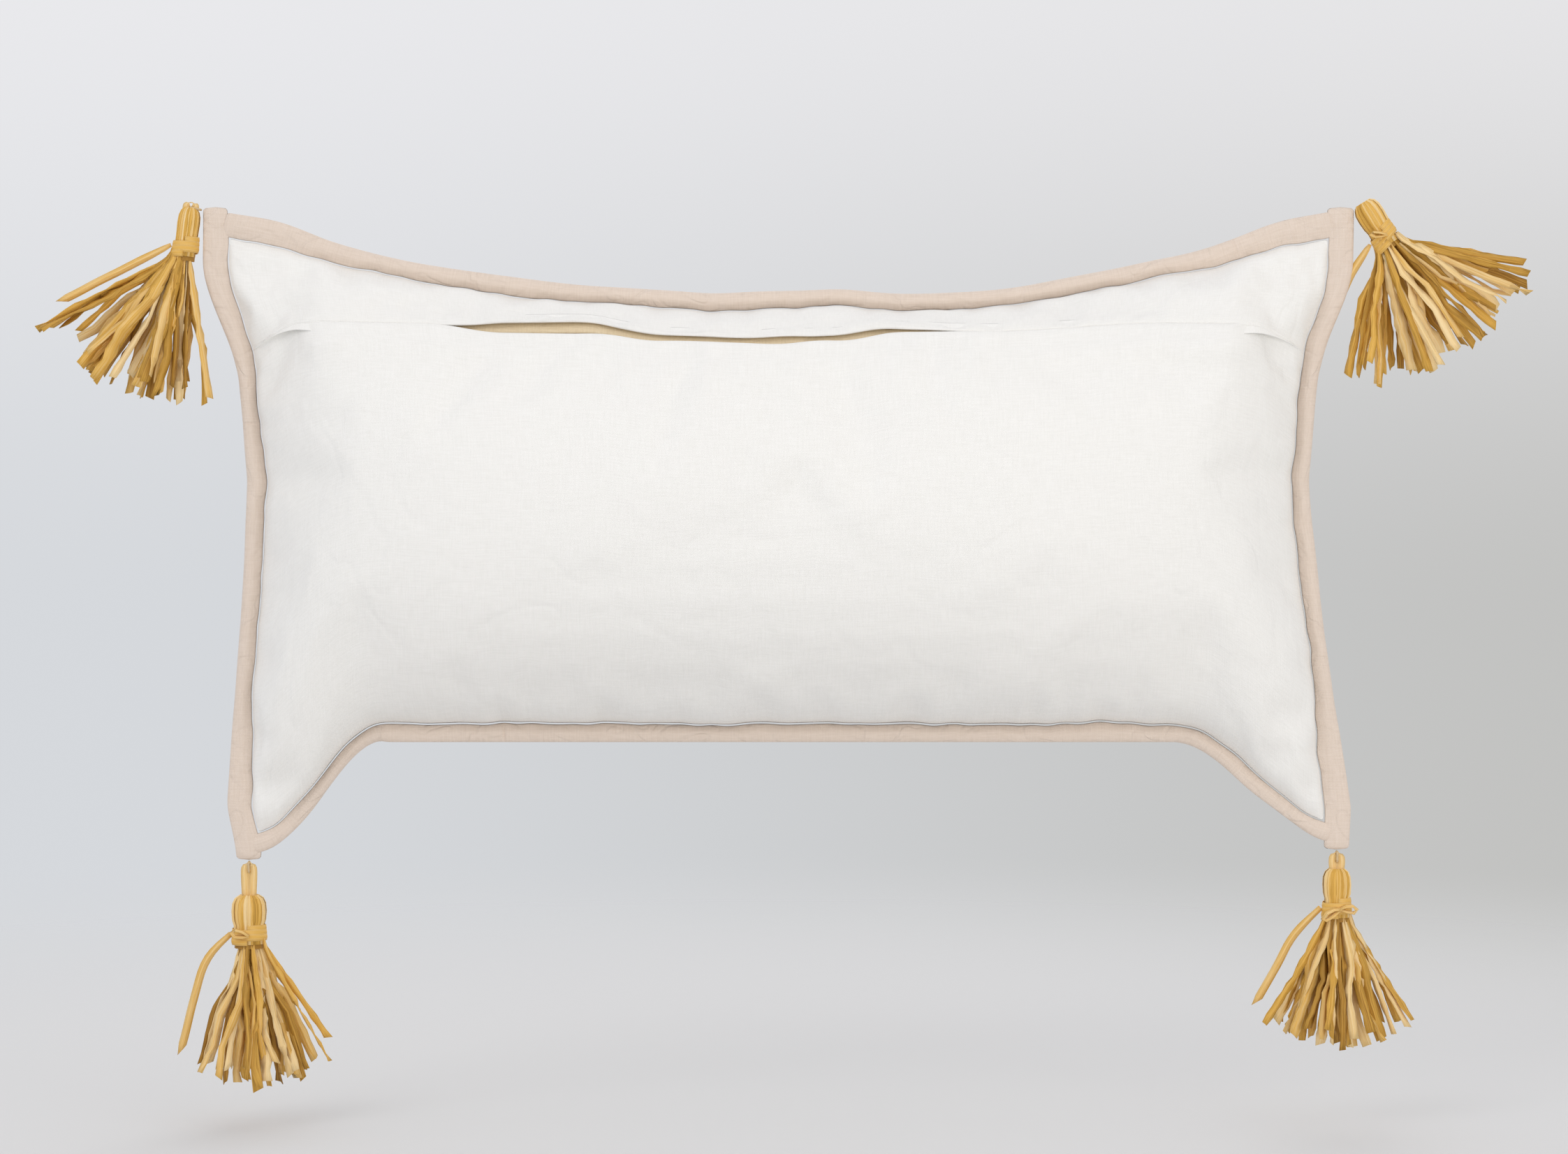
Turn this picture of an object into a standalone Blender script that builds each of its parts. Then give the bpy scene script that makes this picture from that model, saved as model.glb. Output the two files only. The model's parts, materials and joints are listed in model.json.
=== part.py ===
"""Lumbar throw pillow with a padded flange, a concealed zip and four raffia tassels.

It stands on its lower edge, as on a stool: the origin is the centre of the flat underside, +X runs
along the pillow, +Z is up, and the zip side faces -Y. Metres.
"""

import math

import bmesh
import bpy
from mathutils import Matrix, Vector

# Outline of the whole pillow, outside the flange, as it stands
HALF_WIDTH = 0.304          # middle to an upper corner
WAIST_HALF_WIDTH = 0.281    # the sides pull in between the corners
WAIST_HEIGHT = 0.140
SIDE_SLOPE = 0.005          # what the sides gain between the waist and the upper ear
UPPER_EAR_SPREAD = HALF_WIDTH - WAIST_HALF_WIDTH - SIDE_SLOPE
UPPER_EAR_LENGTH = 0.093    # from the corner down to where the ear begins
LOWER_EAR_SPREAD = {-1: 0.012, 1: 0.023}
LOWER_EAR_DROP = {-1: 0.0627, 1: 0.0572}
LOWER_EAR_TUCK = {-1: 0.0055, 1: 0.001}     # what the lower ears turn back in at their ends
TUCK_START = -0.028
LOWER_EAR_BOW = 0.175       # height over which the lower sides spread
MIDDLE_HEIGHT = 0.2385      # the upper edge sags between the corners
CORNER_RISE = 0.0445
SAG_POWER = 2.3
UPPER_EAR_FULLNESS = 0.0045     # the upper edge bulges up near its corners
UPPER_EAR_MIDDLE = 0.264
UPPER_EAR_REACH = 0.027
REST_HALF_LENGTH = 0.2085   # half of the lower edge that lies flat on what carries it
DROOP_LENGTH = {-1: 0.070, 1: 0.088}        # from there out to where the corner hangs lowest
HALF_THICKNESS = 0.082
CORNER_TOP = MIDDLE_HEIGHT + CORNER_RISE

# Cloth and clearances
CLOTH = 0.0008
CASING_CLOTH = 0.0006
FIT_GAP = 0.0003            # between pieces that touch on the real pillow
CASING_GAP = 0.0008         # between the cover and the insert, and inside the insert
INSERT_INSET = 0.009        # the insert's seam lies this far inside the cover's
FILLING_INSET = 0.008

# Padded flange
ROLLED_WIDTH = 0.0095
FLAT_WIDTH = 0.0135
ROLLED_THICKNESS = 0.0085
FLAT_THICKNESS = 0.0045
FLANGE_WALL = 0.0009
FLATTEN_START = 0.100       # how far from a corner the roll begins to open flat
FLATTEN_END = 0.030

# Zip, straight along X between its stops
ZIP_HEIGHT = 0.217
ZIP_DEPTH = 0.439 * HALF_THICKNESS      # the crown's height where the zip runs
ZIP_HALF_LENGTH = 0.222
ZIP_SEAM_FALL = 0.008       # the closed seam past the stops falls towards the sides
ZIP_TILT = math.radians(40)
LIP_GAP = 0.0006            # each lip stands this far from the zip's middle line
ZIP_BURY = 0.0023           # the slider's front plate lies this far under the lips
PLATE = 0.0006
PLATE_HALF_WIDTH = 0.0024
WEB = 0.0003
COIL_HEIGHT = 0.0015
COIL_WIDTH = 0.0015
COIL_TO_WEB = 0.000275
RUNNING_GAP = 0.00035
TAPE = 0.0004
TAPE_WIDTH = 0.008
TAPE_FALL = {"lower": 0.0004, "upper": 0.0020}      # what each tape sinks away from the cloth over its width
SLIDER_LENGTH = 0.008
STOP_LENGTH = 0.003
ZIP_RELIEF = 0.20           # share by which the insert stands back behind the zip

# Tassels: hanging loop, fold of strands over the loop, head, tied neck, skirt
LOOP_RADIUS = 0.0036
LOOP_CORD = 0.0008
LOOP_CORNER = 0.0012
TACK_THREAD = 0.0006
TACK_SLACK = 0.0002
TACK_BEND = 0.0008
TACK_REACH = 0.0062         # from the loop's hinge to the flange that the tack is sewn to
HINGE_UNDER_CORNER = 0.0005
FOLD_TOP = 0.0032
FOLD_HALF_WIDTH = 0.0024
EYE_RADIUS = 0.0014
FOLD_HALF_DEPTH = 0.0044
HEAD_LENGTH = 0.017
NECK_TOP = HEAD_LENGTH + 0.9 * FOLD_TOP
NECK_LENGTH = 0.010
NECK_SHARE = 0.82           # neck radius over head radius
HEAD_FLATNESS = 0.85
TIE_THICKNESS = 0.0012
TIE_CROWN = 0.0004          # the band stands this much prouder along its middle
TIE_MARGIN = 0.0008
TAIL_WIDTH = 0.003
TAIL_THICKNESS = 0.0005
TAIL_SPRING = math.radians(75)          # the tail leaves the knot almost level
SKIRT_DEPTH_ANGLE = math.radians(13)


class Tassel:
    """One corner's tassel. Angles in degrees: tilt leans the whole tassel outwards, lean the skirt."""

    def __init__(self, name, side, hinge, toward_flange, tilt, drop, head, skirt, lean, fan):
        self.name = name
        self.side = side
        self.hinge = Vector(hinge)
        self.toward_flange = Vector(toward_flange).normalized()
        self.turn = -side * math.radians(tilt)
        self.drop = drop
        self.head = head
        self.skirt = skirt
        self.lean = side * math.radians(lean)
        self.fan = math.radians(fan)

    def eye(self):
        """The middle of the loop's lower bar, which the strands fold over."""
        return self.hinge + Matrix.Rotation(self.turn, 3, "Y") @ Vector((0, 0, -self.drop))


def smoothstep(value, low, high):
    share = min(max((value - low) / (high - low), 0.0), 1.0)
    return share * share * (3 - 2 * share)


def mix(first, second, share):
    return first + (second - first) * share


def side_edge(z, side):
    """Half width of the pillow at height z, outside the flange."""
    upper = SIDE_SLOPE * min(max((z - WAIST_HEIGHT) / 0.06, 0.0), 1.0)
    ear = UPPER_EAR_SPREAD * smoothstep(z, CORNER_TOP - UPPER_EAR_LENGTH, CORNER_TOP - 0.3 * UPPER_EAR_LENGTH)
    below = min(max((WAIST_HEIGHT - z) / LOWER_EAR_BOW, 0.0), 1.0)
    tuck = LOWER_EAR_TUCK[side] * smoothstep(-z, -TUCK_START, LOWER_EAR_DROP[side])
    return WAIST_HALF_WIDTH + upper + ear + LOWER_EAR_SPREAD[side] * below**1.3 - tuck


def top_edge(x):
    bulge = UPPER_EAR_FULLNESS * math.exp(-(((abs(x) - UPPER_EAR_MIDDLE) / UPPER_EAR_REACH) ** 2))
    return MIDDLE_HEIGHT + CORNER_RISE * min(abs(x) / HALF_WIDTH, 1.0) ** SAG_POWER + bulge


def bottom_edge(x):
    side = -1 if x < 0 else 1
    return -LOWER_EAR_DROP[side] * smoothstep(abs(x), REST_HALF_LENGTH, REST_HALF_LENGTH + DROOP_LENGTH[side])


def flatness_along(x):
    """0 where the top and bottom flanges are rolled, 1 where they open flat at the corners."""
    return smoothstep(abs(x), HALF_WIDTH - FLATTEN_START, HALF_WIDTH - FLATTEN_END)


def flatness_up(z, side):
    upper = smoothstep(z, CORNER_TOP - FLATTEN_START, CORNER_TOP - FLATTEN_END)
    corner = -LOWER_EAR_DROP[side]
    lower = 1 - smoothstep(z, corner + FLATTEN_END, corner + FLATTEN_START)
    return max(upper, lower)


def flange_width(flatness):
    return mix(ROLLED_WIDTH, FLAT_WIDTH, flatness)


def side_seam(z, side):
    return side_edge(z, side) - flange_width(flatness_up(z, side))


def top_seam(x):
    return top_edge(x) - flange_width(flatness_along(x))


def bottom_seam(x):
    return bottom_edge(x) + flange_width(flatness_along(x))


def zip_line(x):
    return ZIP_HEIGHT - ZIP_SEAM_FALL * smoothstep(abs(x), ZIP_HALF_LENGTH, side_seam(ZIP_HEIGHT, 1))


def swell(x, z, inset):
    """Height of the cushion's crown over the seam plane, as a share of its half thickness."""
    side = -1 if x < 0 else 1
    across = min(abs(x) / (side_seam(z, side) - inset), 1.0)
    low = bottom_seam(x) + inset
    high = top_seam(x) - inset
    up = min(max((2 * z - low - high) / (high - low), -1.0), 1.0)
    up += 0.1 * (1 - up * up)
    return ((1 - across**3) * (1 - up * up)) ** 0.55


def zip_swell(x, z):
    """The zip side: drawn to one straight line where the zip runs."""
    line = zip_line(x)
    straight = 1 - smoothstep(abs(x), ZIP_HALF_LENGTH, ZIP_HALF_LENGTH + 0.04)
    near = math.exp(-(((z - line) / 0.035) ** 2)) * straight
    plain = swell(x, line, 0)
    stretch = 1 + (ZIP_DEPTH / (HALF_THICKNESS * plain) - 1) * near if straight else 1
    return swell(x, z, 0) * stretch


def insert_swell(x, z, inset):
    """The zip side of the insert, which stands back behind the zip."""
    near = math.exp(-(((z - ZIP_HEIGHT) / 0.016) ** 2))
    return swell(x, z, inset) * (1 - ZIP_RELIEF * near)


def spaced(count):
    """count + 1 values from 0 to 1, closer together towards both ends."""
    shares = [index / count for index in range(count + 1)]
    return [0.5 * s + 0.5 * (0.5 - 0.5 * math.cos(math.pi * s)) for s in shares]


def finish(name, shape, colour, roughness, metallic=0.0):
    """A named object with its own material, from a bmesh, which it frees."""
    mesh = bpy.data.meshes.new(name)
    shape.to_mesh(mesh)
    shape.free()
    material = bpy.data.materials.new(name)
    material.use_nodes = True
    shader = material.node_tree.nodes["Principled BSDF"]
    shader.inputs["Base Color"].default_value = (*colour, 1)
    shader.inputs["Roughness"].default_value = roughness
    shader.inputs["Metallic"].default_value = metallic
    mesh.materials.append(material)
    mesh.shade_smooth()
    mesh.set_sharp_from_angle(angle=math.radians(40))
    thing = bpy.data.objects.new(name, mesh)
    bpy.context.scene.collection.objects.link(thing)
    return thing


def face_out(shape):
    """Turns the faces of a closed shape outwards."""
    bmesh.ops.recalc_face_normals(shape, faces=shape.faces)
    if shape.calc_volume(signed=True) < 0:
        bmesh.ops.reverse_faces(shape, faces=shape.faces)


COTTON = (0.86, 0.86, 0.83)
BLUSH = (0.78, 0.62, 0.52)
RAFFIA = (0.69, 0.44, 0.13)
KHAKI = (0.60, 0.44, 0.24)
WADDING = (0.85, 0.85, 0.85)


COLUMNS = [2 * share - 1 for share in spaced(24)]
LOWER_LEVELS = spaced(12)                       # 0 at the bottom seam, 1 at the zip line
UPPER_LEVELS = [1 + share for share in (0, 0.4, 0.75, 1)]   # 2 at the top seam


def grid_point(column, height_of, inset=0.0):
    """Where a column (-1 to 1 across the pillow) meets a line of height height_of(x)."""
    z = MIDDLE_HEIGHT / 2
    for _ in range(20):
        x = column * (side_seam(z, -1 if column < 0 else 1) - inset)
        z = height_of(x)
    return x, z


def level_height(level):
    """The height of one of the cover's grid lines, as a function of x."""
    if level <= 1:
        return lambda x: mix(bottom_seam(x), zip_line(x), level)
    return lambda x: mix(zip_line(x), top_seam(x), level - 1)


def sheet(name, face, heights, depth, thickness, inset, colour, swell_of):
    """A crowned sheet of cloth over grid lines. face is 1 for the plain side, -1 for the zip side."""
    shape = bmesh.new()
    grid = []
    for height_of in heights:
        line = []
        for column in COLUMNS:
            x, z = grid_point(column, height_of, inset)
            y = face * (FIT_GAP / 2 + thickness + depth * swell_of(x, z))
            line.append(shape.verts.new((x, y, z)))
        grid.append(line)
    for lower, upper in zip(grid, grid[1:]):
        for a, b, c, d in zip(lower, lower[1:], upper[1:], upper):
            shape.faces.new((a, b, c, d) if face < 0 else (d, c, b, a))
    thing = finish(name, shape, colour, 0.85)
    wall = thing.modifiers.new("cloth", "SOLIDIFY")
    wall.thickness = thickness
    wall.offset = -1
    return thing


def insert_line(row, inset):
    """The height of one of the insert's grid lines, as a function of x."""
    return lambda x: mix(bottom_seam(x) + inset, top_seam(x) - inset, row)


def filling(depth, inset):
    """The closed crowned body of wadding inside the casing."""
    shape = bmesh.new()
    for face in (-1, 1):
        grid = []
        for row in spaced(12):
            line = []
            for column in COLUMNS:
                x, z = grid_point(column, insert_line(row, inset), inset)
                rim = row in (0, 1) or abs(column) == 1
                if face < 0:
                    y = -(depth - CASING_GAP) * insert_swell(x, z, inset)
                else:
                    y = depth * swell(x, z, inset)
                line.append(shape.verts.new((x, 0 if rim else y, z)))
            grid.append(line)
        for lower, upper in zip(grid, grid[1:]):
            for a, b, c, d in zip(lower, lower[1:], upper[1:], upper):
                shape.faces.new((a, b, c, d))
    bmesh.ops.remove_doubles(shape, verts=shape.verts, dist=1e-6)
    face_out(shape)
    return finish("insert_filling", shape, WADDING, 0.95)


def skin(shape, rings, cap=True):
    """Joins rings of vertices into a tube."""
    for first, second in zip(rings, rings[1:]):
        for index, corner in enumerate(first):
            following = (index + 1) % len(first)
            shape.faces.new((corner, first[following], second[following], second[index]))
    if cap:
        shape.faces.new(list(reversed(rings[0])))
        shape.faces.new(rings[-1])


def flange_profile(width, thickness):
    """The folded strip's section: outward distance from the seam, and y. Its mouth is at the seam."""
    half = thickness / 2
    outer = [(FIT_GAP, 0.6 * half), (0.35 * width, half), (0.8 * width, 0.85 * half), (width, 0.35 * half)]
    wall = FLANGE_WALL
    inner = [(width - wall, 0.35 * half - 0.3 * wall), (0.8 * width - 0.3 * wall, 0.85 * half - wall)]
    inner += [(0.35 * width, half - wall), (FIT_GAP, 0.6 * half - wall)]
    upper = [(out, -y) for out, y in outer] + [(out, y) for out, y in reversed(outer)]
    return upper + [(out, y) for out, y in reversed(inner)] + [(out, -y) for out, y in inner]


def wadding_profile(width, thickness):
    """The section of the soft strip inside the flange."""
    half = thickness / 2 - FLANGE_WALL - FIT_GAP
    end = width - FLANGE_WALL - FIT_GAP
    points = [(2 * FIT_GAP, 0.35 * half), (0.35 * width, 0.9 * half), (0.75 * width, 0.7 * half)]
    points.append((end, 0.2 * half))
    return [(out, -y) for out, y in points] + [(out, y) for out, y in reversed(points)]


def strip(name, stations, profile_of, colour, roughness):
    """Sweeps a section along stations of (seam point, outward direction, flatness)."""
    shape = bmesh.new()
    rings = []
    for seam, outward, flatness in stations:
        width = flange_width(flatness)
        thickness = mix(ROLLED_THICKNESS, FLAT_THICKNESS, flatness)
        ring = []
        for out, y in profile_of(width, thickness):
            ring.append(shape.verts.new((seam[0] + outward[0] * out, y, seam[1] + outward[1] * out)))
        rings.append(ring)
    skin(shape, rings)
    face_out(shape)
    return finish(name, shape, colour, roughness)


def between(first, second, distance):
    """The point on the way from first to second, this far from first."""
    span = math.dist(first, second)
    return tuple(mix(a, b, distance / span) for a, b in zip(first, second))


def edge_stations(points, flatness_of, up):
    """Stations along the cover's top (up = 1) or bottom (up = -1) rim, from its left end to its right."""
    first = between(points[0], points[1], FIT_GAP)
    last = between(points[-1], points[-2], FIT_GAP)
    points = [first] + points[1:-1] + [last]
    stations = []
    for index, (x, z) in enumerate(points):
        before = points[max(index - 1, 0)]
        after = points[min(index + 1, len(points) - 1)]
        run = math.dist(before, after)
        outward = (up * (before[1] - after[1]) / run, up * (after[0] - before[0]) / run)
        if up < 0 and abs(x) <= REST_HALF_LENGTH:
            outward = (0, -1)
        stations.append(((x, z), outward, flatness_of(x)))
    return stations


def flanges():
    """The side strips run the pillow's full height, and the top and bottom ones end against them."""
    for name, level, up in (("top", 2, 1), ("bottom", 0, -1)):
        rim = [grid_point(column, level_height(level)) for column in COLUMNS]
        stations = edge_stations(rim, flatness_along, up)
        strip("flange_" + name, stations, flange_profile, BLUSH, 0.8)
        strip("flange_wadding_" + name, stations[1:-1], wadding_profile, WADDING, 0.95)
    for name, side in (("left", -1), ("right", 1)):
        heights = [grid_point(side, level_height(level))[1] for level in LOWER_LEVELS + UPPER_LEVELS[1:]]
        heights = [-LOWER_EAR_DROP[side]] + heights + [CORNER_TOP]
        stations = [((side * side_seam(z, side), z), (side, 0), flatness_up(z, side)) for z in heights]
        strip("flange_" + name, stations, flange_profile, BLUSH, 0.8)
        strip("flange_wadding_" + name, stations[1:-1], wadding_profile, WADDING, 0.95)


def cover_and_insert():
    lower = [level_height(level) for level in LOWER_LEVELS]
    upper = [level_height(level) for level in UPPER_LEVELS]
    sheet("cover_front", 1, lower + upper[1:], HALF_THICKNESS, CLOTH, 0, COTTON, lambda x, z: swell(x, z, 0))
    lower[-1] = lambda x: zip_line(x) - LIP_GAP
    upper[0] = lambda x: zip_line(x) + LIP_GAP
    sheet("cover_back_lower", -1, lower, HALF_THICKNESS, CLOTH, 0, COTTON, zip_swell)
    sheet("cover_back_upper", -1, upper, HALF_THICKNESS, CLOTH, 0, COTTON, zip_swell)

    depth = HALF_THICKNESS - CLOTH - CASING_GAP - CASING_CLOTH
    inset = INSERT_INSET
    lines = [insert_line(row, inset) for row in spaced(12)]
    sheet("insert_casing_front", 1, lines, depth, CASING_CLOTH, inset, WADDING,
          lambda x, z: swell(x, z, inset))
    sheet("insert_casing_back", -1, lines, depth, CASING_CLOTH, inset, WADDING,
          lambda x, z: insert_swell(x, z, inset))
    filling(depth - CASING_GAP, inset + FILLING_INSET)


def zip_point(x, along, out):
    """A point from the zip's own directions: along the cloth downwards, and outwards through it."""
    sine = math.sin(ZIP_TILT)
    cosine = math.cos(ZIP_TILT)
    return Vector((x, -ZIP_DEPTH - sine * along - cosine * out, ZIP_HEIGHT - cosine * along + sine * out))


def zip_bar(name, section, low, high, colour, roughness, metallic=0.0):
    """A straight piece of the zip: a section of (along, out) points, drawn from x = low to high."""
    shape = bmesh.new()
    rings = [[shape.verts.new(zip_point(x, along, out)) for along, out in section] for x in (low, high)]
    skin(shape, rings)
    face_out(shape)
    return finish(name, shape, colour, roughness, metallic)


def zip_pieces():
    front = -ZIP_BURY
    coil_top = front - PLATE - RUNNING_GAP
    coil_bottom = coil_top - COIL_HEIGHT
    back = coil_bottom - RUNNING_GAP
    inner = WEB / 2 + COIL_TO_WEB
    outer = inner + COIL_WIDTH
    tape_top = (coil_top + coil_bottom + TAPE) / 2
    end = ZIP_HALF_LENGTH
    for name, way in (("lower", 1), ("upper", -1)):
        chamfer = 0.3 * COIL_HEIGHT
        coil = [(inner, coil_top), (outer - chamfer, coil_top), (outer, coil_top - chamfer),
                (outer, coil_bottom + chamfer), (outer - chamfer, coil_bottom), (inner, coil_bottom)]
        zip_bar("zip_coil_" + name, [(way * along, out) for along, out in coil], -end, end, KHAKI, 0.5)
        start = outer + FIT_GAP
        far = start + TAPE_WIDTH
        far_out = tape_top - TAPE_FALL[name]
        tape = [(start, tape_top), (far, far_out), (far, far_out - TAPE), (start, tape_top - TAPE)]
        zip_bar("zip_tape_" + name, [(way * along, out) for along, out in tape], -end, end, KHAKI, 0.8)
    web = WEB / 2
    wide = PLATE_HALF_WIDTH
    slider = [(-wide, front), (wide, front), (wide, front - PLATE), (web, front - PLATE), (web, back),
              (wide, back), (wide, back - PLATE), (-wide, back - PLATE), (-wide, back), (-web, back),
              (-web, front - PLATE), (-wide, front - PLATE)]
    closed = end - SLIDER_LENGTH - FIT_GAP
    zip_bar("zip_slider", slider, closed, closed + SLIDER_LENGTH, (0.55, 0.53, 0.50), 0.35, 1.0)
    stop = [(-outer, coil_top), (outer, coil_top), (outer, coil_bottom), (-outer, coil_bottom)]
    for name, side in (("left", -1), ("right", 1)):
        near = side * (end + FIT_GAP)
        zip_bar("zip_stop_" + name, stop, min(near, near + side * STOP_LENGTH),
                max(near, near + side * STOP_LENGTH), (0.55, 0.53, 0.50), 0.35, 1.0)


def ring_tube(path, radius, sides):
    """A closed ring of round cord along a closed path of points."""
    shape = bmesh.new()
    rings = []
    count = len(path)
    normal = (path[1] - path[0]).cross(path[2] - path[1]).normalized()
    for index, point in enumerate(path):
        along = (path[(index + 1) % count] - path[index - 1]).normalized()
        across = along.cross(normal)
        ring = []
        for step in range(sides):
            angle = 2 * math.pi * step / sides
            around = math.cos(angle) * across + math.sin(angle) * normal
            ring.append(shape.verts.new(point + radius * around))
        rings.append(ring)
    skin(shape, rings + [rings[0]], cap=False)
    face_out(shape)
    return shape


def arc(centre_a, centre_b, radius, start, end, steps):
    angles = [mix(start, end, step / steps) for step in range(steps + 1)]
    return [(centre_a + radius * math.cos(a), centre_b + radius * math.sin(a)) for a in angles]


def hang(thing, place, turn):
    thing.matrix_world = Matrix.Translation(place) @ Matrix.Rotation(turn, 4, "Y")
    return thing


def loop(tassel):
    """Round over the tack at the top, a straight bar at the bottom for the strands to fold over."""
    low = -tassel.drop
    path = arc(0, 0, LOOP_RADIUS, 0, math.pi, 8)
    path += arc(-LOOP_RADIUS + LOOP_CORNER, low + LOOP_CORNER, LOOP_CORNER, math.pi, 1.5 * math.pi, 3)
    path += arc(LOOP_RADIUS - LOOP_CORNER, low + LOOP_CORNER, LOOP_CORNER, -0.5 * math.pi, 0, 3)
    shape = ring_tube([Vector((x, 0, z)) for x, z in path], LOOP_CORD, 6)
    hang(finish(tassel.name + "_loop", shape, RAFFIA, 0.6), tassel.hinge, tassel.turn)


def tack(tassel):
    """A stitched link through the loop, from the loop's hinge to the flange's corner."""
    reach = TACK_REACH - FIT_GAP - TACK_THREAD
    half = LOOP_CORD + FIT_GAP + TACK_THREAD + TACK_SLACK
    bend = TACK_BEND
    path = arc(half - bend, bend, bend, -0.5 * math.pi, 0, 2)
    path += arc(half - bend, reach - bend, bend, 0, 0.5 * math.pi, 2)
    path += arc(-half + bend, reach - bend, bend, 0.5 * math.pi, math.pi, 2)
    path += arc(-half + bend, bend, bend, math.pi, 1.5 * math.pi, 2)
    toward = tassel.toward_flange
    points = [tassel.hinge + Vector((0, y, 0)) + toward * out for y, out in path]
    finish("corner_tack_" + tassel.name[-2:], ring_tube(points, TACK_THREAD, 6), COTTON, 0.7)


def oval(shape, centre_x, z, half_x, half_y, sides):
    angles = [2 * math.pi * step / sides for step in range(sides)]
    return [shape.verts.new((centre_x + half_x * math.cos(a), half_y * math.sin(a), z)) for a in angles]


def strands(tassel):
    """The bundle of strands: fold with its eye, head, neck and fanned skirt, closed as one body."""
    sides = 14
    head = tassel.head
    neck = NECK_SHARE * head
    neck_end = NECK_TOP + NECK_LENGTH
    deep = HEAD_FLATNESS
    shape = bmesh.new()
    fold = FOLD_HALF_WIDTH
    fold_deep = FOLD_HALF_DEPTH
    sections = [
        (-FOLD_TOP, 0.5 * fold, 0.36 * fold_deep), (-0.7 * FOLD_TOP, 0.9 * fold, 0.77 * fold_deep),
        (0, fold, 0.95 * fold_deep), (0.1 * HEAD_LENGTH, fold, fold_deep),
        (0.27 * HEAD_LENGTH, 0.72 * head, 0.75 * head * deep),
        (0.5 * HEAD_LENGTH, 0.97 * head, 0.97 * head * deep),
        (0.8 * HEAD_LENGTH, head, head * deep), (NECK_TOP, neck, neck * deep), (neck_end, neck, neck * deep),
    ]
    rings = [oval(shape, 0, -down, half_x, half_y, sides) for down, half_x, half_y in sections]
    stages = [(0.2, 1.0), (0.6, 1.0), (1.0, 1.0), (1.0, 0.5)]
    for reach, spread in stages:
        length = tassel.skirt * reach
        ring = []
        for step in range(sides):
            angle = 2 * math.pi * step / sides
            out = spread * tassel.fan * math.cos(angle) + tassel.lean * min(1, 2 * reach)
            deep_angle = spread * SKIRT_DEPTH_ANGLE * math.sin(angle)
            x = spread * neck * math.cos(angle) + length * math.sin(out)
            y = spread * neck * deep * math.sin(angle) + length * math.sin(deep_angle)
            ring.append(shape.verts.new((x, y, -neck_end - length * math.cos(out) * math.cos(deep_angle))))
        rings.append(ring)
    skin(shape, rings)
    face_out(shape)
    bundle = finish(tassel.name + "_strands", shape, RAFFIA, 0.6)
    hang(bundle, tassel.eye(), tassel.turn)

    cutter_shape = bmesh.new()
    bmesh.ops.create_cone(cutter_shape, cap_ends=True, segments=12, radius1=EYE_RADIUS, radius2=EYE_RADIUS,
                          depth=6 * FOLD_HALF_WIDTH, matrix=Matrix.Rotation(math.pi / 2, 4, "Y"))
    cutter = hang(finish(tassel.name + "_eye_cutter", cutter_shape, RAFFIA, 0.6), tassel.eye(), tassel.turn)
    cutter.hide_render = True
    cutter.display_type = "WIRE"
    cut = bundle.modifiers.new("eye", "BOOLEAN")
    cut.operation = "DIFFERENCE"
    cut.object = cutter


def neck_tie(tassel):
    """The ribbon wound round the neck, as one band."""
    sides = 14
    neck = NECK_SHARE * tassel.head
    low = NECK_TOP + TIE_MARGIN
    high = NECK_TOP + NECK_LENGTH - TIE_MARGIN
    shape = bmesh.new()
    inner = neck + FIT_GAP
    outer = inner + TIE_THICKNESS
    rings = []
    for down, radius in ((low, inner), (low, outer), (mix(low, high, 0.5), outer + TIE_CROWN),
                         (high, outer), (high, inner)):
        stretch = HEAD_FLATNESS + (radius - neck) / neck * (1 - HEAD_FLATNESS)
        rings.append(oval(shape, 0, -down, radius, radius * stretch, sides))
    skin(shape, rings + [rings[0]], cap=False)
    face_out(shape)
    hang(finish(tassel.name + "_neck_tie", shape, RAFFIA, 0.6), tassel.eye(), tassel.turn)


def tie_tail(tassel, swing, length):
    """The loose end of the neck tie: a flat ribbon that springs out to the left and then falls."""
    neck = NECK_SHARE * tassel.head
    start = neck + FIT_GAP + TIE_THICKNESS + TIE_CROWN + FIT_GAP
    down = NECK_TOP + 0.5 * NECK_LENGTH
    shape = bmesh.new()
    rings = []
    steps = 7
    x = start
    z = -down
    angle = TAIL_SPRING
    for step in range(steps + 1):
        across = Vector((0, 1, 0)) * TAIL_WIDTH / 2
        thick = Vector((math.cos(angle), 0, math.sin(angle))) * TAIL_THICKNESS / 2
        centre = Vector((-x, 0, z))
        thick.x *= -1
        rings.append([shape.verts.new(centre + a * across + b * thick)
                      for a, b in ((-1, -1), (1, -1), (1, 1), (-1, 1))])
        angle = mix(TAIL_SPRING, math.radians(swing), smoothstep(step, 0, 3))
        x += length / steps * math.sin(angle)
        z -= length / steps * math.cos(angle)
    skin(shape, rings)
    face_out(shape)
    hang(finish(tassel.name + "_tie_tail", shape, RAFFIA, 0.6), tassel.eye(), tassel.turn)


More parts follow.
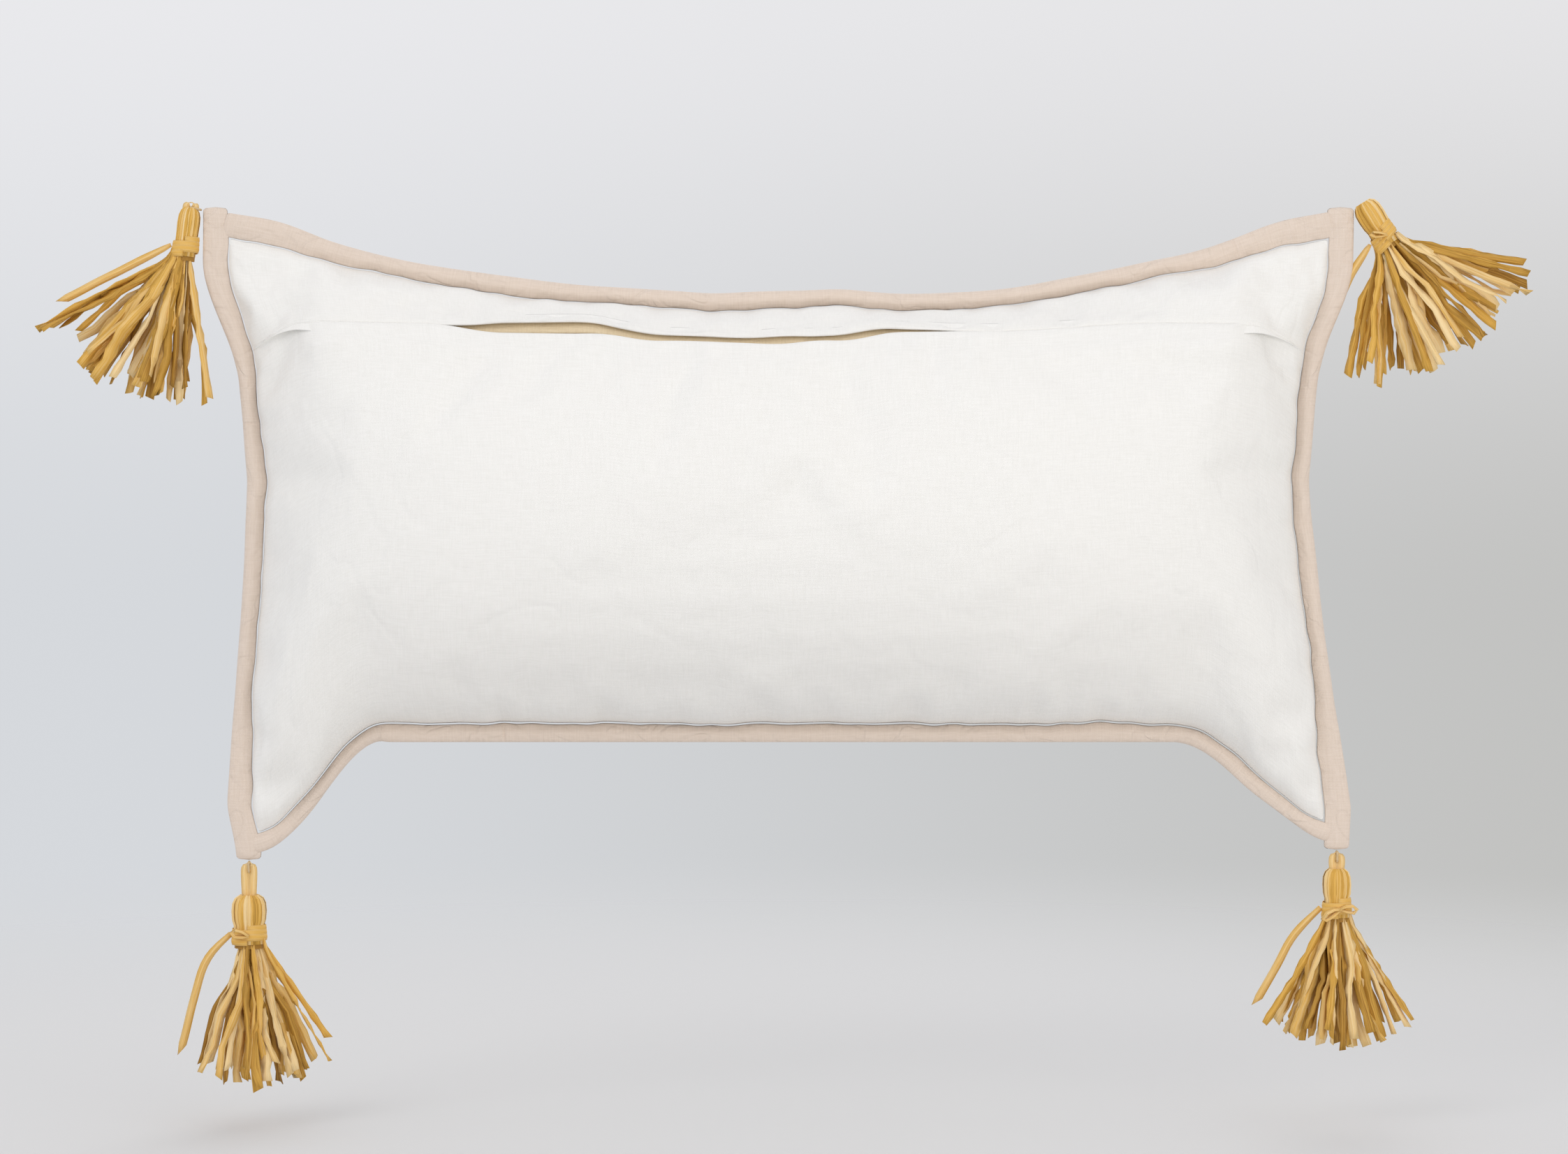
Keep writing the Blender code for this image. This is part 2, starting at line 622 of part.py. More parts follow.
def tassels():
    """Upper tassels flop outwards over the flange, lower ones hang straight down from their loops."""
    beside = HALF_WIDTH + TACK_REACH
    upper = CORNER_TOP - HINGE_UNDER_CORNER
    under = {}
    for side in (-1, 1):
        low = -LOWER_EAR_DROP[side]
        under[side] = (side * (side_edge(low, side) - FLAT_WIDTH / 2), 0, low - TACK_REACH)
    group = [
        (Tassel("tassel_ul", -1, hinge=(-beside, 0, upper), toward_flange=(1, 0, -0.2), tilt=8,
                drop=0.0062, head=0.0062, skirt=0.078, lean=15, fan=30), 60, 0.066),
        (Tassel("tassel_ur", 1, hinge=(beside, 0, upper), toward_flange=(-1, 0, -0.2), tilt=32,
                drop=0.0062, head=0.0068, skirt=0.070, lean=1, fan=45), 59, 0.048),
        (Tassel("tassel_ll", -1, hinge=under[-1], toward_flange=(0, 0, 1), tilt=0,
                drop=0.0154, head=0.0088, skirt=0.078, lean=-3.5, fan=19.5), 16, 0.070),
        (Tassel("tassel_lr", 1, hinge=under[1], toward_flange=(0, 0, 1), tilt=0,
                drop=0.0062, head=0.0074, skirt=0.072, lean=0, fan=23), 30, 0.062),
    ]
    for tassel, swing, length in group:
        loop(tassel)
        tack(tassel)
        strands(tassel)
        neck_tie(tassel)
        tie_tail(tassel, swing, length)


for thing in list(bpy.data.objects):
    bpy.data.objects.remove(thing, do_unlink=True)
cover_and_insert()
flanges()
zip_pieces()
tassels()
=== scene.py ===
"""Lumbar throw pillow seen from its zip side: cotton cover, padded blush flange, concealed zip and four
raffia tassels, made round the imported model."""

import json
import math
import random

import bmesh
import bpy
from mathutils import Matrix, Vector, noise
from mathutils.bvhtree import BVHTree

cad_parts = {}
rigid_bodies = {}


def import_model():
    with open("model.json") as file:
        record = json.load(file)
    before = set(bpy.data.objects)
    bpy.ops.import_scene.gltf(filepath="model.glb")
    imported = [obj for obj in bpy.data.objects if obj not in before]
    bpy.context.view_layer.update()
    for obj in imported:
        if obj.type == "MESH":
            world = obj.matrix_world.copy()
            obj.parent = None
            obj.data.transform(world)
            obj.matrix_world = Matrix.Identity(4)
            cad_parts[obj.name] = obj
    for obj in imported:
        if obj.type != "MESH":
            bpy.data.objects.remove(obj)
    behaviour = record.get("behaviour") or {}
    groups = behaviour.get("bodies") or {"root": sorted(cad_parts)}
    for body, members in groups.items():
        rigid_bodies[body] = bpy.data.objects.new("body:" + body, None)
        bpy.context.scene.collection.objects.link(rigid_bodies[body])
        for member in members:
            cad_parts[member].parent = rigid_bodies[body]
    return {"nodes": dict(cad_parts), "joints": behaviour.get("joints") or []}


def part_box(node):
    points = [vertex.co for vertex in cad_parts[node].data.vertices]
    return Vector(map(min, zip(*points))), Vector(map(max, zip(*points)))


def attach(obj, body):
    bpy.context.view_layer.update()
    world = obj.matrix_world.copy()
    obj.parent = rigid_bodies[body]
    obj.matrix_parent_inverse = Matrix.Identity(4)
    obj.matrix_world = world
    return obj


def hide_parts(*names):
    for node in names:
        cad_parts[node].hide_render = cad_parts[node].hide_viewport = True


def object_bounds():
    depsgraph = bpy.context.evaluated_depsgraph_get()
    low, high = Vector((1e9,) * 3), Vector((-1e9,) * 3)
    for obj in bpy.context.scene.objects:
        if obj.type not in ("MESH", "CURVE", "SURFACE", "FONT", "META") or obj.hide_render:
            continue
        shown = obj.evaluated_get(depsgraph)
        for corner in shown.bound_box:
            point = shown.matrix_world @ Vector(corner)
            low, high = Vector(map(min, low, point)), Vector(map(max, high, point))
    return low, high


for thing in list(bpy.data.objects):
    bpy.data.objects.remove(thing, do_unlink=True)
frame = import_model()
cad_low, cad_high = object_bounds()

# ---------------------------------------------------------------------------------------------------------
# Camera, light and floor
# A long lens looks almost level at the zip side. One big soft light stands high on the left and a weaker one
# fills from the right, over a pale floor that fades into the grey of the room.

CAMERA_DISTANCE = 1.96
CAMERA_LIFT = math.radians(1.5)
AIM = Vector((0.003, 0.0, 0.0875))
LEFT_GREY = (0.67, 0.69, 0.72, 1)
RIGHT_GREY = (0.54, 0.54, 0.53, 1)
UPPER_GREY = (0.86, 0.855, 0.875, 1)

camera = bpy.data.objects.new("camera", bpy.data.cameras.new("camera"))
camera.data.lens = 85
camera.data.sensor_width = 36
camera.location = AIM + CAMERA_DISTANCE * Vector((0, -math.cos(CAMERA_LIFT), math.sin(CAMERA_LIFT)))
camera.rotation_euler = (math.pi / 2 - CAMERA_LIFT, 0, 0)
bpy.context.scene.collection.objects.link(camera)
bpy.context.scene.camera = camera
bpy.context.scene.view_settings.view_transform = "Standard"


def soft_light(name, place, size, power, colour):
    """A square soft box aimed at the pillow's middle."""
    light = bpy.data.objects.new(name, bpy.data.lights.new(name, "AREA"))
    light.data.size = size
    light.data.energy = power
    light.data.color = colour
    light.location = place
    light.rotation_euler = (AIM - Vector(place)).to_track_quat("-Z", "Y").to_euler()
    bpy.context.scene.collection.objects.link(light)


soft_light("key_light", (-1.5, -1.7, 1.7), 1.4, 10, (1.0, 0.99, 0.98))
soft_light("fill_light", (1.1, -2.1, 0.0), 1.8, 17, (1.0, 0.965, 0.91))
soft_light("back_light", (0.4, 1.8, 1.6), 1.6, 8, (1.0, 0.99, 0.97))


def add_node(tree, kind, inputs, **settings):
    """A shader node with its settings made and its inputs filled."""
    node = tree.nodes.new("ShaderNode" + kind)
    for setting, value in settings.items():
        setattr(node, setting, value)
    fill_inputs(tree, node, inputs)
    return node


def fill_inputs(tree, node, inputs):
    """Wires each input that is given an output, and sets any other to a constant."""
    for label, value in inputs.items():
        if isinstance(value, bpy.types.NodeSocket):
            tree.links.new(value, node.inputs[label])
        else:
            node.inputs[label].default_value = value


def remap(tree, value, start, end, low, high, interpolation="LINEAR"):
    """Carries a value over from the range start to end, to the range low to high."""
    ranges = {"Value": value, "From Min": start, "From Max": end, "To Min": low, "To Max": high}
    return add_node(tree, "MapRange", ranges, interpolation_type=interpolation).outputs["Result"]


def blend(tree, share, first, second):
    inputs = {"Factor": share, "A": first, "B": second}
    return add_node(tree, "Mix", inputs, data_type="RGBA").outputs["Result"]


def new_material(name):
    """A material, its node tree and its Principled shader."""
    material = bpy.data.materials.new(name)
    material.use_nodes = True
    return material, material.node_tree, material.node_tree.nodes["Principled BSDF"]


def show(name, shape, material, sharp=180):
    """A named object from a bmesh, smooth but for edges sharper than sharp, in degrees."""
    mesh = bpy.data.meshes.new(name)
    shape.to_mesh(mesh)
    shape.free()
    mesh.materials.append(material)
    for polygon in mesh.polygons:
        polygon.material_index = 0
    mesh.shade_smooth()
    if sharp < 180:
        mesh.set_sharp_from_angle(angle=math.radians(sharp))
    thing = bpy.data.objects.new(name, mesh)
    bpy.context.scene.collection.objects.link(thing)
    return thing


room = bpy.data.worlds.new("room")
room.use_nodes = True
tree = room.node_tree
direction = add_node(tree, "TexCoord", {}).outputs["Generated"]
toward = add_node(tree, "SeparateXYZ", {0: direction}).outputs
rightward = remap(tree, toward["X"], -0.2, 0.24, 0, 1, "SMOOTHSTEP")
upward = remap(tree, toward["Z"], -0.04, 0.15, 0, 0.8, "SMOOTHSTEP")
wall = blend(tree, rightward, LEFT_GREY, RIGHT_GREY)
fill_inputs(tree, tree.nodes["Background"], {"Color": blend(tree, upward, wall, UPPER_GREY)})
bpy.context.scene.world = room

FLOOR_RADIUS = 1.5
FADE_START = 0.35           # from here out to the rim the floor fades away
FLOOR_GAP = 0.012           # from the lowest tassel to the floor

floor_paint, tree, shader = new_material("floor_paint")
place = add_node(tree, "TexCoord", {}).outputs["Object"]
distance = add_node(tree, "VectorMath", {0: place}, operation="LENGTH").outputs["Value"]
fade = remap(tree, distance, FADE_START, FLOOR_RADIUS, 1, 0, "SMOOTHSTEP")
fill_inputs(tree, shader, {"Base Color": (0.70, 0.70, 0.70, 1), "Roughness": 0.8, "Alpha": fade})
floor_shape = bmesh.new()
bmesh.ops.create_circle(floor_shape, cap_ends=True, segments=96, radius=FLOOR_RADIUS)
bmesh.ops.translate(floor_shape, verts=floor_shape.verts, vec=(0, 0, cad_low.z - FLOOR_GAP))
floor = show("floor", floor_shape, floor_paint)

# ---------------------------------------------------------------------------------------------------------
# Cotton cover
# Three panels of off-white plain-weave cotton: the plain front, and the back in two with the zip between
# them. They are sewn together round the rim, and the insert blows them up, which puckers them at the seams.

HALF_WIDTH = 0.304
WAIST_HALF_WIDTH = 0.281
WAIST_HEIGHT = 0.140
SIDE_SLOPE = 0.005
UPPER_EAR_LENGTH = 0.093
LOWER_EAR_SPREAD = {-1: 0.012, 1: 0.023}
LOWER_EAR_DROP = {-1: -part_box("flange_left")[0].z, 1: -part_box("flange_right")[0].z}
LOWER_EAR_BOW = 0.175
LOWER_EAR_TUCK = {-1: 0.0055, 1: 0.001}
TUCK_START = -0.028
CORNER_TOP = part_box("flange_left")[1].z
MIDDLE_HEIGHT = 0.2385
REST_HALF_LENGTH = 0.2085
DROOP_LENGTH = {-1: 0.070, 1: 0.088}
HALF_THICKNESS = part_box("cover_front")[1].y
ROLLED_WIDTH = 0.0095
FLAT_WIDTH = 0.0135
FLATTEN_START = 0.100
FLATTEN_END = 0.030
ZIP_HEIGHT = 0.217
ZIP_DEPTH = 0.439 * HALF_THICKNESS
ZIP_HALF_LENGTH = 0.222
COTTON = 0.0008


def ease(value, low, high):
    """0 below low, 1 above high, smooth between."""
    share = min(max((value - low) / (high - low), 0.0), 1.0)
    return share * share * (3 - 2 * share)


def mix(first, second, share):
    return first + (second - first) * share


def hump(value, middle, reach):
    return math.exp(-(((value - middle) / reach) ** 2))


def ripple(x, z, length, seed):
    """Smooth unevenness from -1 to 1 with about this wavelength."""
    return noise.noise(Vector((x / length, z / length, 7.3 * seed)))


def side_edge(z, side):
    """Half width of the pillow outside its flange."""
    upper = SIDE_SLOPE * min(max((z - WAIST_HEIGHT) / 0.06, 0.0), 1.0)
    spread = HALF_WIDTH - WAIST_HALF_WIDTH - SIDE_SLOPE
    ear = spread * ease(z, CORNER_TOP - UPPER_EAR_LENGTH, CORNER_TOP - 0.3 * UPPER_EAR_LENGTH)
    below = min(max((WAIST_HEIGHT - z) / LOWER_EAR_BOW, 0.0), 1.0)
    tuck = LOWER_EAR_TUCK[side] * ease(-z, -TUCK_START, LOWER_EAR_DROP[side])
    return WAIST_HALF_WIDTH + upper + ear + LOWER_EAR_SPREAD[side] * below**1.3 - tuck


def top_edge(x):
    sag = MIDDLE_HEIGHT + (CORNER_TOP - MIDDLE_HEIGHT) * min(abs(x) / HALF_WIDTH, 1.0) ** 2.3
    bulge = 0.0045 * hump(abs(x), 0.264, 0.027)
    dents = 0.0017 * hump(x, 0.031, 0.02) - 0.0012 * hump(x, -0.035, 0.02) - 0.0038 * hump(x, 0.105, 0.055)
    return sag + bulge + dents


def bottom_edge(x):
    side = -1 if x < 0 else 1
    return -LOWER_EAR_DROP[side] * ease(abs(x), REST_HALF_LENGTH, REST_HALF_LENGTH + DROOP_LENGTH[side])


def flatness_along(x):
    """0 where the upper and lower flanges are rolled, 1 where they open flat at the corners."""
    return ease(abs(x), HALF_WIDTH - FLATTEN_START, HALF_WIDTH - FLATTEN_END)


def flatness_up(z, side):
    upper = ease(z, CORNER_TOP - FLATTEN_START, CORNER_TOP - FLATTEN_END)
    corner = -LOWER_EAR_DROP[side]
    return max(upper, 1 - ease(z, corner + FLATTEN_END, corner + FLATTEN_START))


def gather(x, z):
    """How far the stitches pull the seam in or out, in metres."""
    return 0.0011 * ripple(x, z, 0.011, 1) + 0.0010 * ripple(x, z, 0.034, 2)


def side_seam(z, side):
    return side_edge(z, side) - mix(ROLLED_WIDTH, FLAT_WIDTH, flatness_up(z, side)) + gather(side, z)


def top_seam(x):
    return top_edge(x) - mix(ROLLED_WIDTH, FLAT_WIDTH, flatness_along(x)) + gather(x, 1)


def bottom_seam(x):
    return bottom_edge(x) + mix(ROLLED_WIDTH, FLAT_WIDTH, flatness_along(x)) + gather(x, -1)


def smooth_between(points, x):
    """The height at x of a smooth line through points of (x, height)."""
    if x <= points[0][0]:
        return points[0][1]
    for (x0, z0), (x1, z1) in zip(points, points[1:]):
        if x <= x1:
            return mix(z0, z1, ease(x, x0, x1))
    return points[-1][1]


# The closed seam, and half the gape that its lips leave where the zip bulges out between them
SEAM_LINE = [(-0.285, 0.206), (-0.247, 0.2215), (-0.190, 0.2205), (-0.150, 0.2180), (-0.100, 0.2180),
             (-0.060, 0.2125), (-0.010, 0.2110), (0.030, 0.2125), (0.060, 0.2165), (0.110, 0.2160),
             (0.200, 0.2205), (0.245, 0.2200), (0.285, 0.205)]
GAPE = [(-0.176, 0.0), (-0.140, 0.0037), (-0.105, 0.0042), (-0.078, 0.0027), (-0.050, 0.0019),
        (-0.020, 0.0018), (0.003, 0.0028), (0.020, 0.0016), (0.043, 0.0025), (0.070, 0.0009), (0.100, 0.0)]
COLUMNS = 132
LOWER_ROWS = 50
UPPER_ROWS = 12
SLACK_DEPTH = 0.074         # how far the panels stand out before the filling swells them
CROWD_SHARE = 0.55          # how evenly the columns are spaced: they crowd towards the sides


def zip_line(x):
    return smooth_between(SEAM_LINE, x)


def crown(x, z):
    """The cushion's height over the seam plane, as a share of its half thickness."""
    side = -1 if x < 0 else 1
    across = min(abs(x) / side_seam(z, side), 1.0)
    low = bottom_seam(x)
    up = min(max((2 * z - low - top_seam(x)) / (top_seam(x) - low), -1.0), 1.0)
    up += 0.1 * (1 - up * up)
    return (max(1 - across**3, 0.0) * max(1 - up * up, 0.0)) ** 0.55


def cover_point(column, level):
    """A place on the cover: column from -1 to 1 across, level 0 at the lower seam, 1 at the zip, 2 on top."""
    z = MIDDLE_HEIGHT / 2
    for _ in range(20):
        x = column * side_seam(z, -1 if column < 0 else 1)
        if level <= 1:
            z = mix(bottom_seam(x), zip_line(x), level)
        else:
            z = mix(zip_line(x), top_seam(x), level - 1)
    return x, z


def back_depth(x, z, depth):
    """How far the zip side stands out: the crown, drawn to one straight line where the zip runs."""
    straight = 1 - ease(abs(x), ZIP_HALF_LENGTH, ZIP_HALF_LENGTH + 0.04)
    near = hump(z, ZIP_HEIGHT, 0.035) * straight
    plain = crown(x, ZIP_HEIGHT)
    return crown(x, z) * (depth + (ZIP_DEPTH / max(plain, 0.1) - depth) * near)


def level_of(row):
    """The grid line's level: 0 at the lower seam, 1 at the zip, 2 on top. Lines crowd together at the zip."""
    if row <= LOWER_ROWS:
        return 1 - (1 - row / LOWER_ROWS) ** 1.35
    return 1 + ((row - LOWER_ROWS) / UPPER_ROWS) ** 1.15


def lay_panel(shape, first_row, last_row, face, panel):
    """One panel's grid, on the crown of the slack cushion. Its verts keep their place on the flat cut."""
    rows = last_row - first_row
    layers = shape.verts.layers.float
    across_layer, level_layer, sewn_layer = (layers[key] for key in ("across", "level", "sewn"))
    grid = bmesh.ops.create_grid(shape, x_segments=COLUMNS, y_segments=rows, size=0.5)["verts"]
    for vert in grid:
        across = 2 * vert.co.x
        row = round(first_row + (vert.co.y + 0.5) * rows)
        rim = row in (0, LOWER_ROWS + UPPER_ROWS) or abs(across) > 0.9999
        at_zip = face < 0 and row == LOWER_ROWS
        x, z = cover_point(mix(math.sin(math.pi / 2 * across), across, CROWD_SHARE), level_of(row))
        y = SLACK_DEPTH * crown(x, z)
        if face < 0:
            y = -back_depth(x, z, HALF_THICKNESS if at_zip else SLACK_DEPTH)
        vert.co = (x, 0 if rim else y, z)
        vert[across_layer] = across
        vert[level_layer] = level_of(row)
        vert[sewn_layer] = 1 if rim or at_zip else 0
    for square in {square for vert in grid for square in vert.link_faces}:
        square.material_index = panel


FRONT, LOWER_BACK, UPPER_BACK = 0, 1, 2
ALL_ROWS = LOWER_ROWS + UPPER_ROWS
cushion_shape = bmesh.new()
for key in ("across", "level", "sewn"):
    cushion_shape.verts.layers.float.new(key)
lay_panel(cushion_shape, 0, ALL_ROWS, 1, FRONT)
lay_panel(cushion_shape, 0, LOWER_ROWS, -1, LOWER_BACK)
lay_panel(cushion_shape, LOWER_ROWS, ALL_ROWS, -1, UPPER_BACK)
bmesh.ops.remove_doubles(cushion_shape, verts=cushion_shape.verts, dist=1e-5)
bmesh.ops.recalc_face_normals(cushion_shape, faces=cushion_shape.faces)
cushion_mesh = bpy.data.meshes.new("cushion")
cushion_shape.to_mesh(cushion_mesh)
cushion_shape.free()
cushion = bpy.data.objects.new("cushion", cushion_mesh)
bpy.context.scene.collection.objects.link(cushion)
sewn = cushion.vertex_groups.new(name="sewn")
sewn.add([i for i, held in enumerate(cushion_mesh.attributes["sewn"].data) if held.value > 0.5], 1, "REPLACE")

SWELL_CAP = 0.016           # no point of the cloth moves further than this
SETTLE_STEPS = 20
start = [vert.co.copy() for vert in cushion_mesh.vertices]
filling = cushion.modifiers.new("filling", "CLOTH")
filling.settings.quality = 6
filling.settings.mass = 0.2
filling.settings.tension_stiffness = 20
filling.settings.compression_stiffness = 12
filling.settings.shear_stiffness = 6
filling.settings.bending_stiffness = 3
filling.settings.vertex_group_mass = "sewn"
filling.settings.shrink_min = -0.018
filling.settings.use_pressure = True
filling.settings.uniform_pressure_force = 4
filling.settings.effector_weights.gravity = 0
for step in range(1, SETTLE_STEPS + 1):
    bpy.context.scene.frame_set(step)
swollen = bpy.data.meshes.new_from_object(cushion.evaluated_get(bpy.context.evaluated_depsgraph_get()))
cushion.modifiers.clear()
for before, after in zip(start, swollen.vertices):
    travel = after.co - before
    after.co = before + travel * min(1, SWELL_CAP / max(travel.length, 1e-9))
cushion.data = swollen
bpy.context.scene.frame_set(1)

ZIP_TILT = math.radians(40)
DOWN_CLOTH = Vector((0, -math.sin(ZIP_TILT), -math.cos(ZIP_TILT)))
OUT_OF_CLOTH = Vector((0, -math.cos(ZIP_TILT), math.sin(ZIP_TILT)))
TAPE_COVER = 0.015          # how far from the zip the cloth has the tapes behind it
TAPE_FADE = (0.230, 0.260)  # past the tapes' ends, where that cover fades out
LINING_GAP = 0.0012         # the cotton's outer face stays this far outside the insert

# The cloth below the zip is pushed out to keep the lower tape behind it, and then all of it off the insert
for vert in cushion.data.vertices:
    line = zip_line(vert.co.x)
    if vert.co.y < 0 and abs(vert.co.x) < TAPE_FADE[1] and vert.co.z < line:
        on_zip = Vector((vert.co.x, -back_depth(vert.co.x, line, HALF_THICKNESS), line))
        behind = max(0, -(vert.co - on_zip).dot(OUT_OF_CLOTH))
        near = 1 - ease(abs(vert.co.z - line), 0.8 * TAPE_COVER, 1.5 * TAPE_COVER)
        near *= 1 - ease(abs(vert.co.x), *TAPE_FADE)
        vert.co += OUT_OF_CLOTH * behind * near
for face, node in ((1, "insert_casing_front"), (-1, "insert_casing_back")):
    insert = BVHTree.FromObject(frame["nodes"][node], bpy.context.evaluated_depsgraph_get())
    for vert in cushion.data.vertices:
        if vert.co.y * face <= 0:
            continue
        hit = insert.ray_cast(Vector((vert.co.x, face, vert.co.z)), Vector((0, -face, 0)))[0]
        if hit and abs(vert.co.y) < abs(hit.y) + LINING_GAP:
            vert.co.y = hit.y + face * LINING_GAP

PUCKER_MIDDLE = 0.008       # from the seam to the middle of its puckers
PUCKER_HEIGHT = 0.0016
SEAM_HOLD = 0.0015          # the stitches hold the cloth flat this near to the seam
for vert in cushion.data.vertices:
    side = -1 if vert.co.x < 0 else 1
    from_side = side_seam(vert.co.z, side) - abs(vert.co.x)
    from_edge = min(top_seam(vert.co.x) - vert.co.z, vert.co.z - bottom_seam(vert.co.x))
    if min(from_side, from_edge) < SEAM_HOLD:
        continue
    along = vert.co.z if from_side < from_edge else vert.co.x
    fold = ripple(along, side, 0.016, 11) + 0.5 * ripple(along, side, 0.035, 12)
    fade = hump(min(from_side, from_edge), PUCKER_MIDDLE, PUCKER_MIDDLE)
    vert.co.y += math.copysign(PUCKER_HEIGHT, vert.co.y) * fold * fade


def effect_group(name, inputs, outputs):
    """A node group with these inputs and float outputs, what it is given and the node that puts them out."""
    group = bpy.data.node_groups.new(name, "ShaderNodeTree")
    for label, kind in inputs.items():
        group.interface.new_socket(label, in_out="INPUT", socket_type="NodeSocket" + kind)
    for label in outputs:
        group.interface.new_socket(label, in_out="OUTPUT", socket_type="NodeSocketFloat")
    return group, group.nodes.new("NodeGroupInput").outputs, group.nodes.new("NodeGroupOutput")


def calculate(tree, operation, *values):
    return add_node(tree, "Math", dict(enumerate(values)), operation=operation).outputs[0]


def stretch(tree, place, factors):
    return add_node(tree, "VectorMath", {0: place, 1: factors}, operation="MULTIPLY").outputs[0]


# Threads crossing over and under, with the uneven thickness of spun yarn
plain_weave, given, put_out = effect_group("plain_weave", {"Vector": "Vector", "Threads": "Float"},
                                           ["Height", "Slub"])
half_turns = calculate(plain_weave, "MULTIPLY", given["Threads"], math.pi)
phase = add_node(plain_weave, "VectorMath", {0: given["Vector"], "Scale": half_turns}, operation="SCALE")
apart = add_node(plain_weave, "SeparateXYZ", {0: phase.outputs[0]}).outputs
waves = [calculate(plain_weave, "SINE", apart[axis]) for axis in "XY"]
yarns = []
for drawn_out in ((1, 14, 1), (14, 1, 1)):
    drawn = stretch(plain_weave, given["Vector"], drawn_out)
    yarn = add_node(plain_weave, "TexNoise", {"Vector": drawn, "Scale": 90, "Detail": 3})
    yarns.append(yarn.outputs["Fac"])
both_yarns = calculate(plain_weave, "ADD", *yarns)
fill_inputs(plain_weave, put_out, {"Height": calculate(plain_weave, "MULTIPLY", *waves),
                                   "Slub": calculate(plain_weave, "MULTIPLY", both_yarns, 0.5)})

# The soft creases of handled cloth, as ridges where a smooth noise crosses its middle
rumple, given, put_out = effect_group("rumple", {"Vector": "Vector", "Scale": "Float"}, ["Height"])
swirl = add_node(rumple, "TexNoise", {"Vector": given["Vector"], "Scale": given["Scale"], "Detail": 2,
                                      "Distortion": 0.5})
ridge = calculate(rumple, "ABSOLUTE", calculate(rumple, "SUBTRACT", swirl.outputs["Fac"], 0.5))
fill_inputs(rumple, put_out, {"Height": remap(rumple, ridge, 0, 0.09, 0, 1, "SMOOTHSTEP")})

SLUB_HEIGHT = 0.0004
THREAD_HEIGHT = 0.00005


def bump(tree, height, distance, strength, below=None):
    """The normal of a surface raised by a height, over the normal below."""
    inputs = {"Height": height, "Distance": distance, "Strength": strength}
    if below:
        inputs["Normal"] = below
    return add_node(tree, "Bump", inputs).outputs["Normal"]


def woven_cloth(name, light, dark, coordinates="UV", threads=2600, crease_scale=22, crease_height=0.0004,
                sheen=0.25):
    """Woven cloth: slubs tint it and roughen it, and the weave and soft creases raise it."""
    material, tree, shader = new_material(name)
    place = add_node(tree, "TexCoord", {}).outputs[coordinates]
    weave = add_node(tree, "Group", {"Vector": place, "Threads": threads}, node_tree=plain_weave).outputs
    creases = add_node(tree, "Group", {"Vector": place, "Scale": crease_scale}, node_tree=rumple).outputs
    tint = remap(tree, weave["Slub"], 0.35, 0.65, 0, 1)
    creased = bump(tree, creases["Height"], crease_height, 0.6)
    slubbed = bump(tree, weave["Slub"], SLUB_HEIGHT, 0.6, creased)
    fill_inputs(tree, shader, {
        "Base Color": blend(tree, tint, (*dark, 1), (*light, 1)),
        "Roughness": remap(tree, weave["Slub"], 0, 1, 0.78, 0.92),
        "Normal": bump(tree, weave["Height"], THREAD_HEIGHT, 0.6, slubbed),
        "Sheen Weight": sheen, "Sheen Roughness": 0.4, "Specular IOR Level": 0.25})
    return material


def declare(piece, body, node):
    """Attaches the piece to the body it rides and hides the node it is shown for."""
    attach(piece, body)
    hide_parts(node)


def thicken(thing, thickness, offset, smooth_levels):
    wall = thing.modifiers.new("thickness", "SOLIDIFY")
    wall.thickness = thickness
    wall.offset = offset
    if smooth_levels:
        smooth = thing.modifiers.new("smooth", "SUBSURF")
        smooth.levels = smooth_levels
        smooth.render_levels = smooth_levels


off_white_cotton = woven_cloth("off_white_cotton", (0.91, 0.90, 0.875), (0.86, 0.85, 0.82))
LIP_GAP = 0.0002            # between the lips where the zip holds them shut
LIP_REACH = 0.016           # how far from the zip the gape pulls the cloth
LIP_ROLL = 0.0007           # the folded lips stand this much prouder than the cloth behind them
# Steps of the turned-in cloth: how far inwards, and how far past the edge
TURNED_IN = [(0.0006, 0.0003), (0.0010, -0.0001), (0.0001, -0.0065)]
LOWER_CUT = 0.21            # the flat heights of the back panels below and above the zip
UPPER_CUT = 0.05


def lip_share(x):
    """1 along the zip's lips, down to 0 where they run out."""
    return 1 - ease(abs(x), 0.24, 0.275)


def fold_lip(shape, level_layer, lip):
    """Opens the zip edge by the gape, rolls it outwards and turns the cloth in behind it."""
    for vert in shape.verts:
        reach = abs(vert.co.z - zip_line(vert.co.x))
        held = lip_share(vert.co.x)
        near = max(0, 1 - reach / LIP_REACH) * held
        vert.co += DOWN_CLOTH * -lip * near**2 * (smooth_between(GAPE, vert.co.x) + LIP_GAP)
        vert.co += OUT_OF_CLOTH * LIP_ROLL * hump(reach, 0.0025, 0.0022) * held
    edge = [e for e in shape.edges if e.is_boundary and all(abs(v[level_layer] - 1) < 1e-4 for v in e.verts)]
    for inward, beyond in TURNED_IN:
        grown = bmesh.ops.extrude_edge_only(shape, edges=edge)["geom"]
        fresh = {g for g in grown if isinstance(g, bmesh.types.BMVert)}
        edge = [g for g in grown if isinstance(g, bmesh.types.BMEdge) and set(g.verts) <= fresh]
        for vert in fresh:
            vert.co += lip_share(vert.co.x) * (DOWN_CLOTH * lip * beyond - OUT_OF_CLOTH * inward)


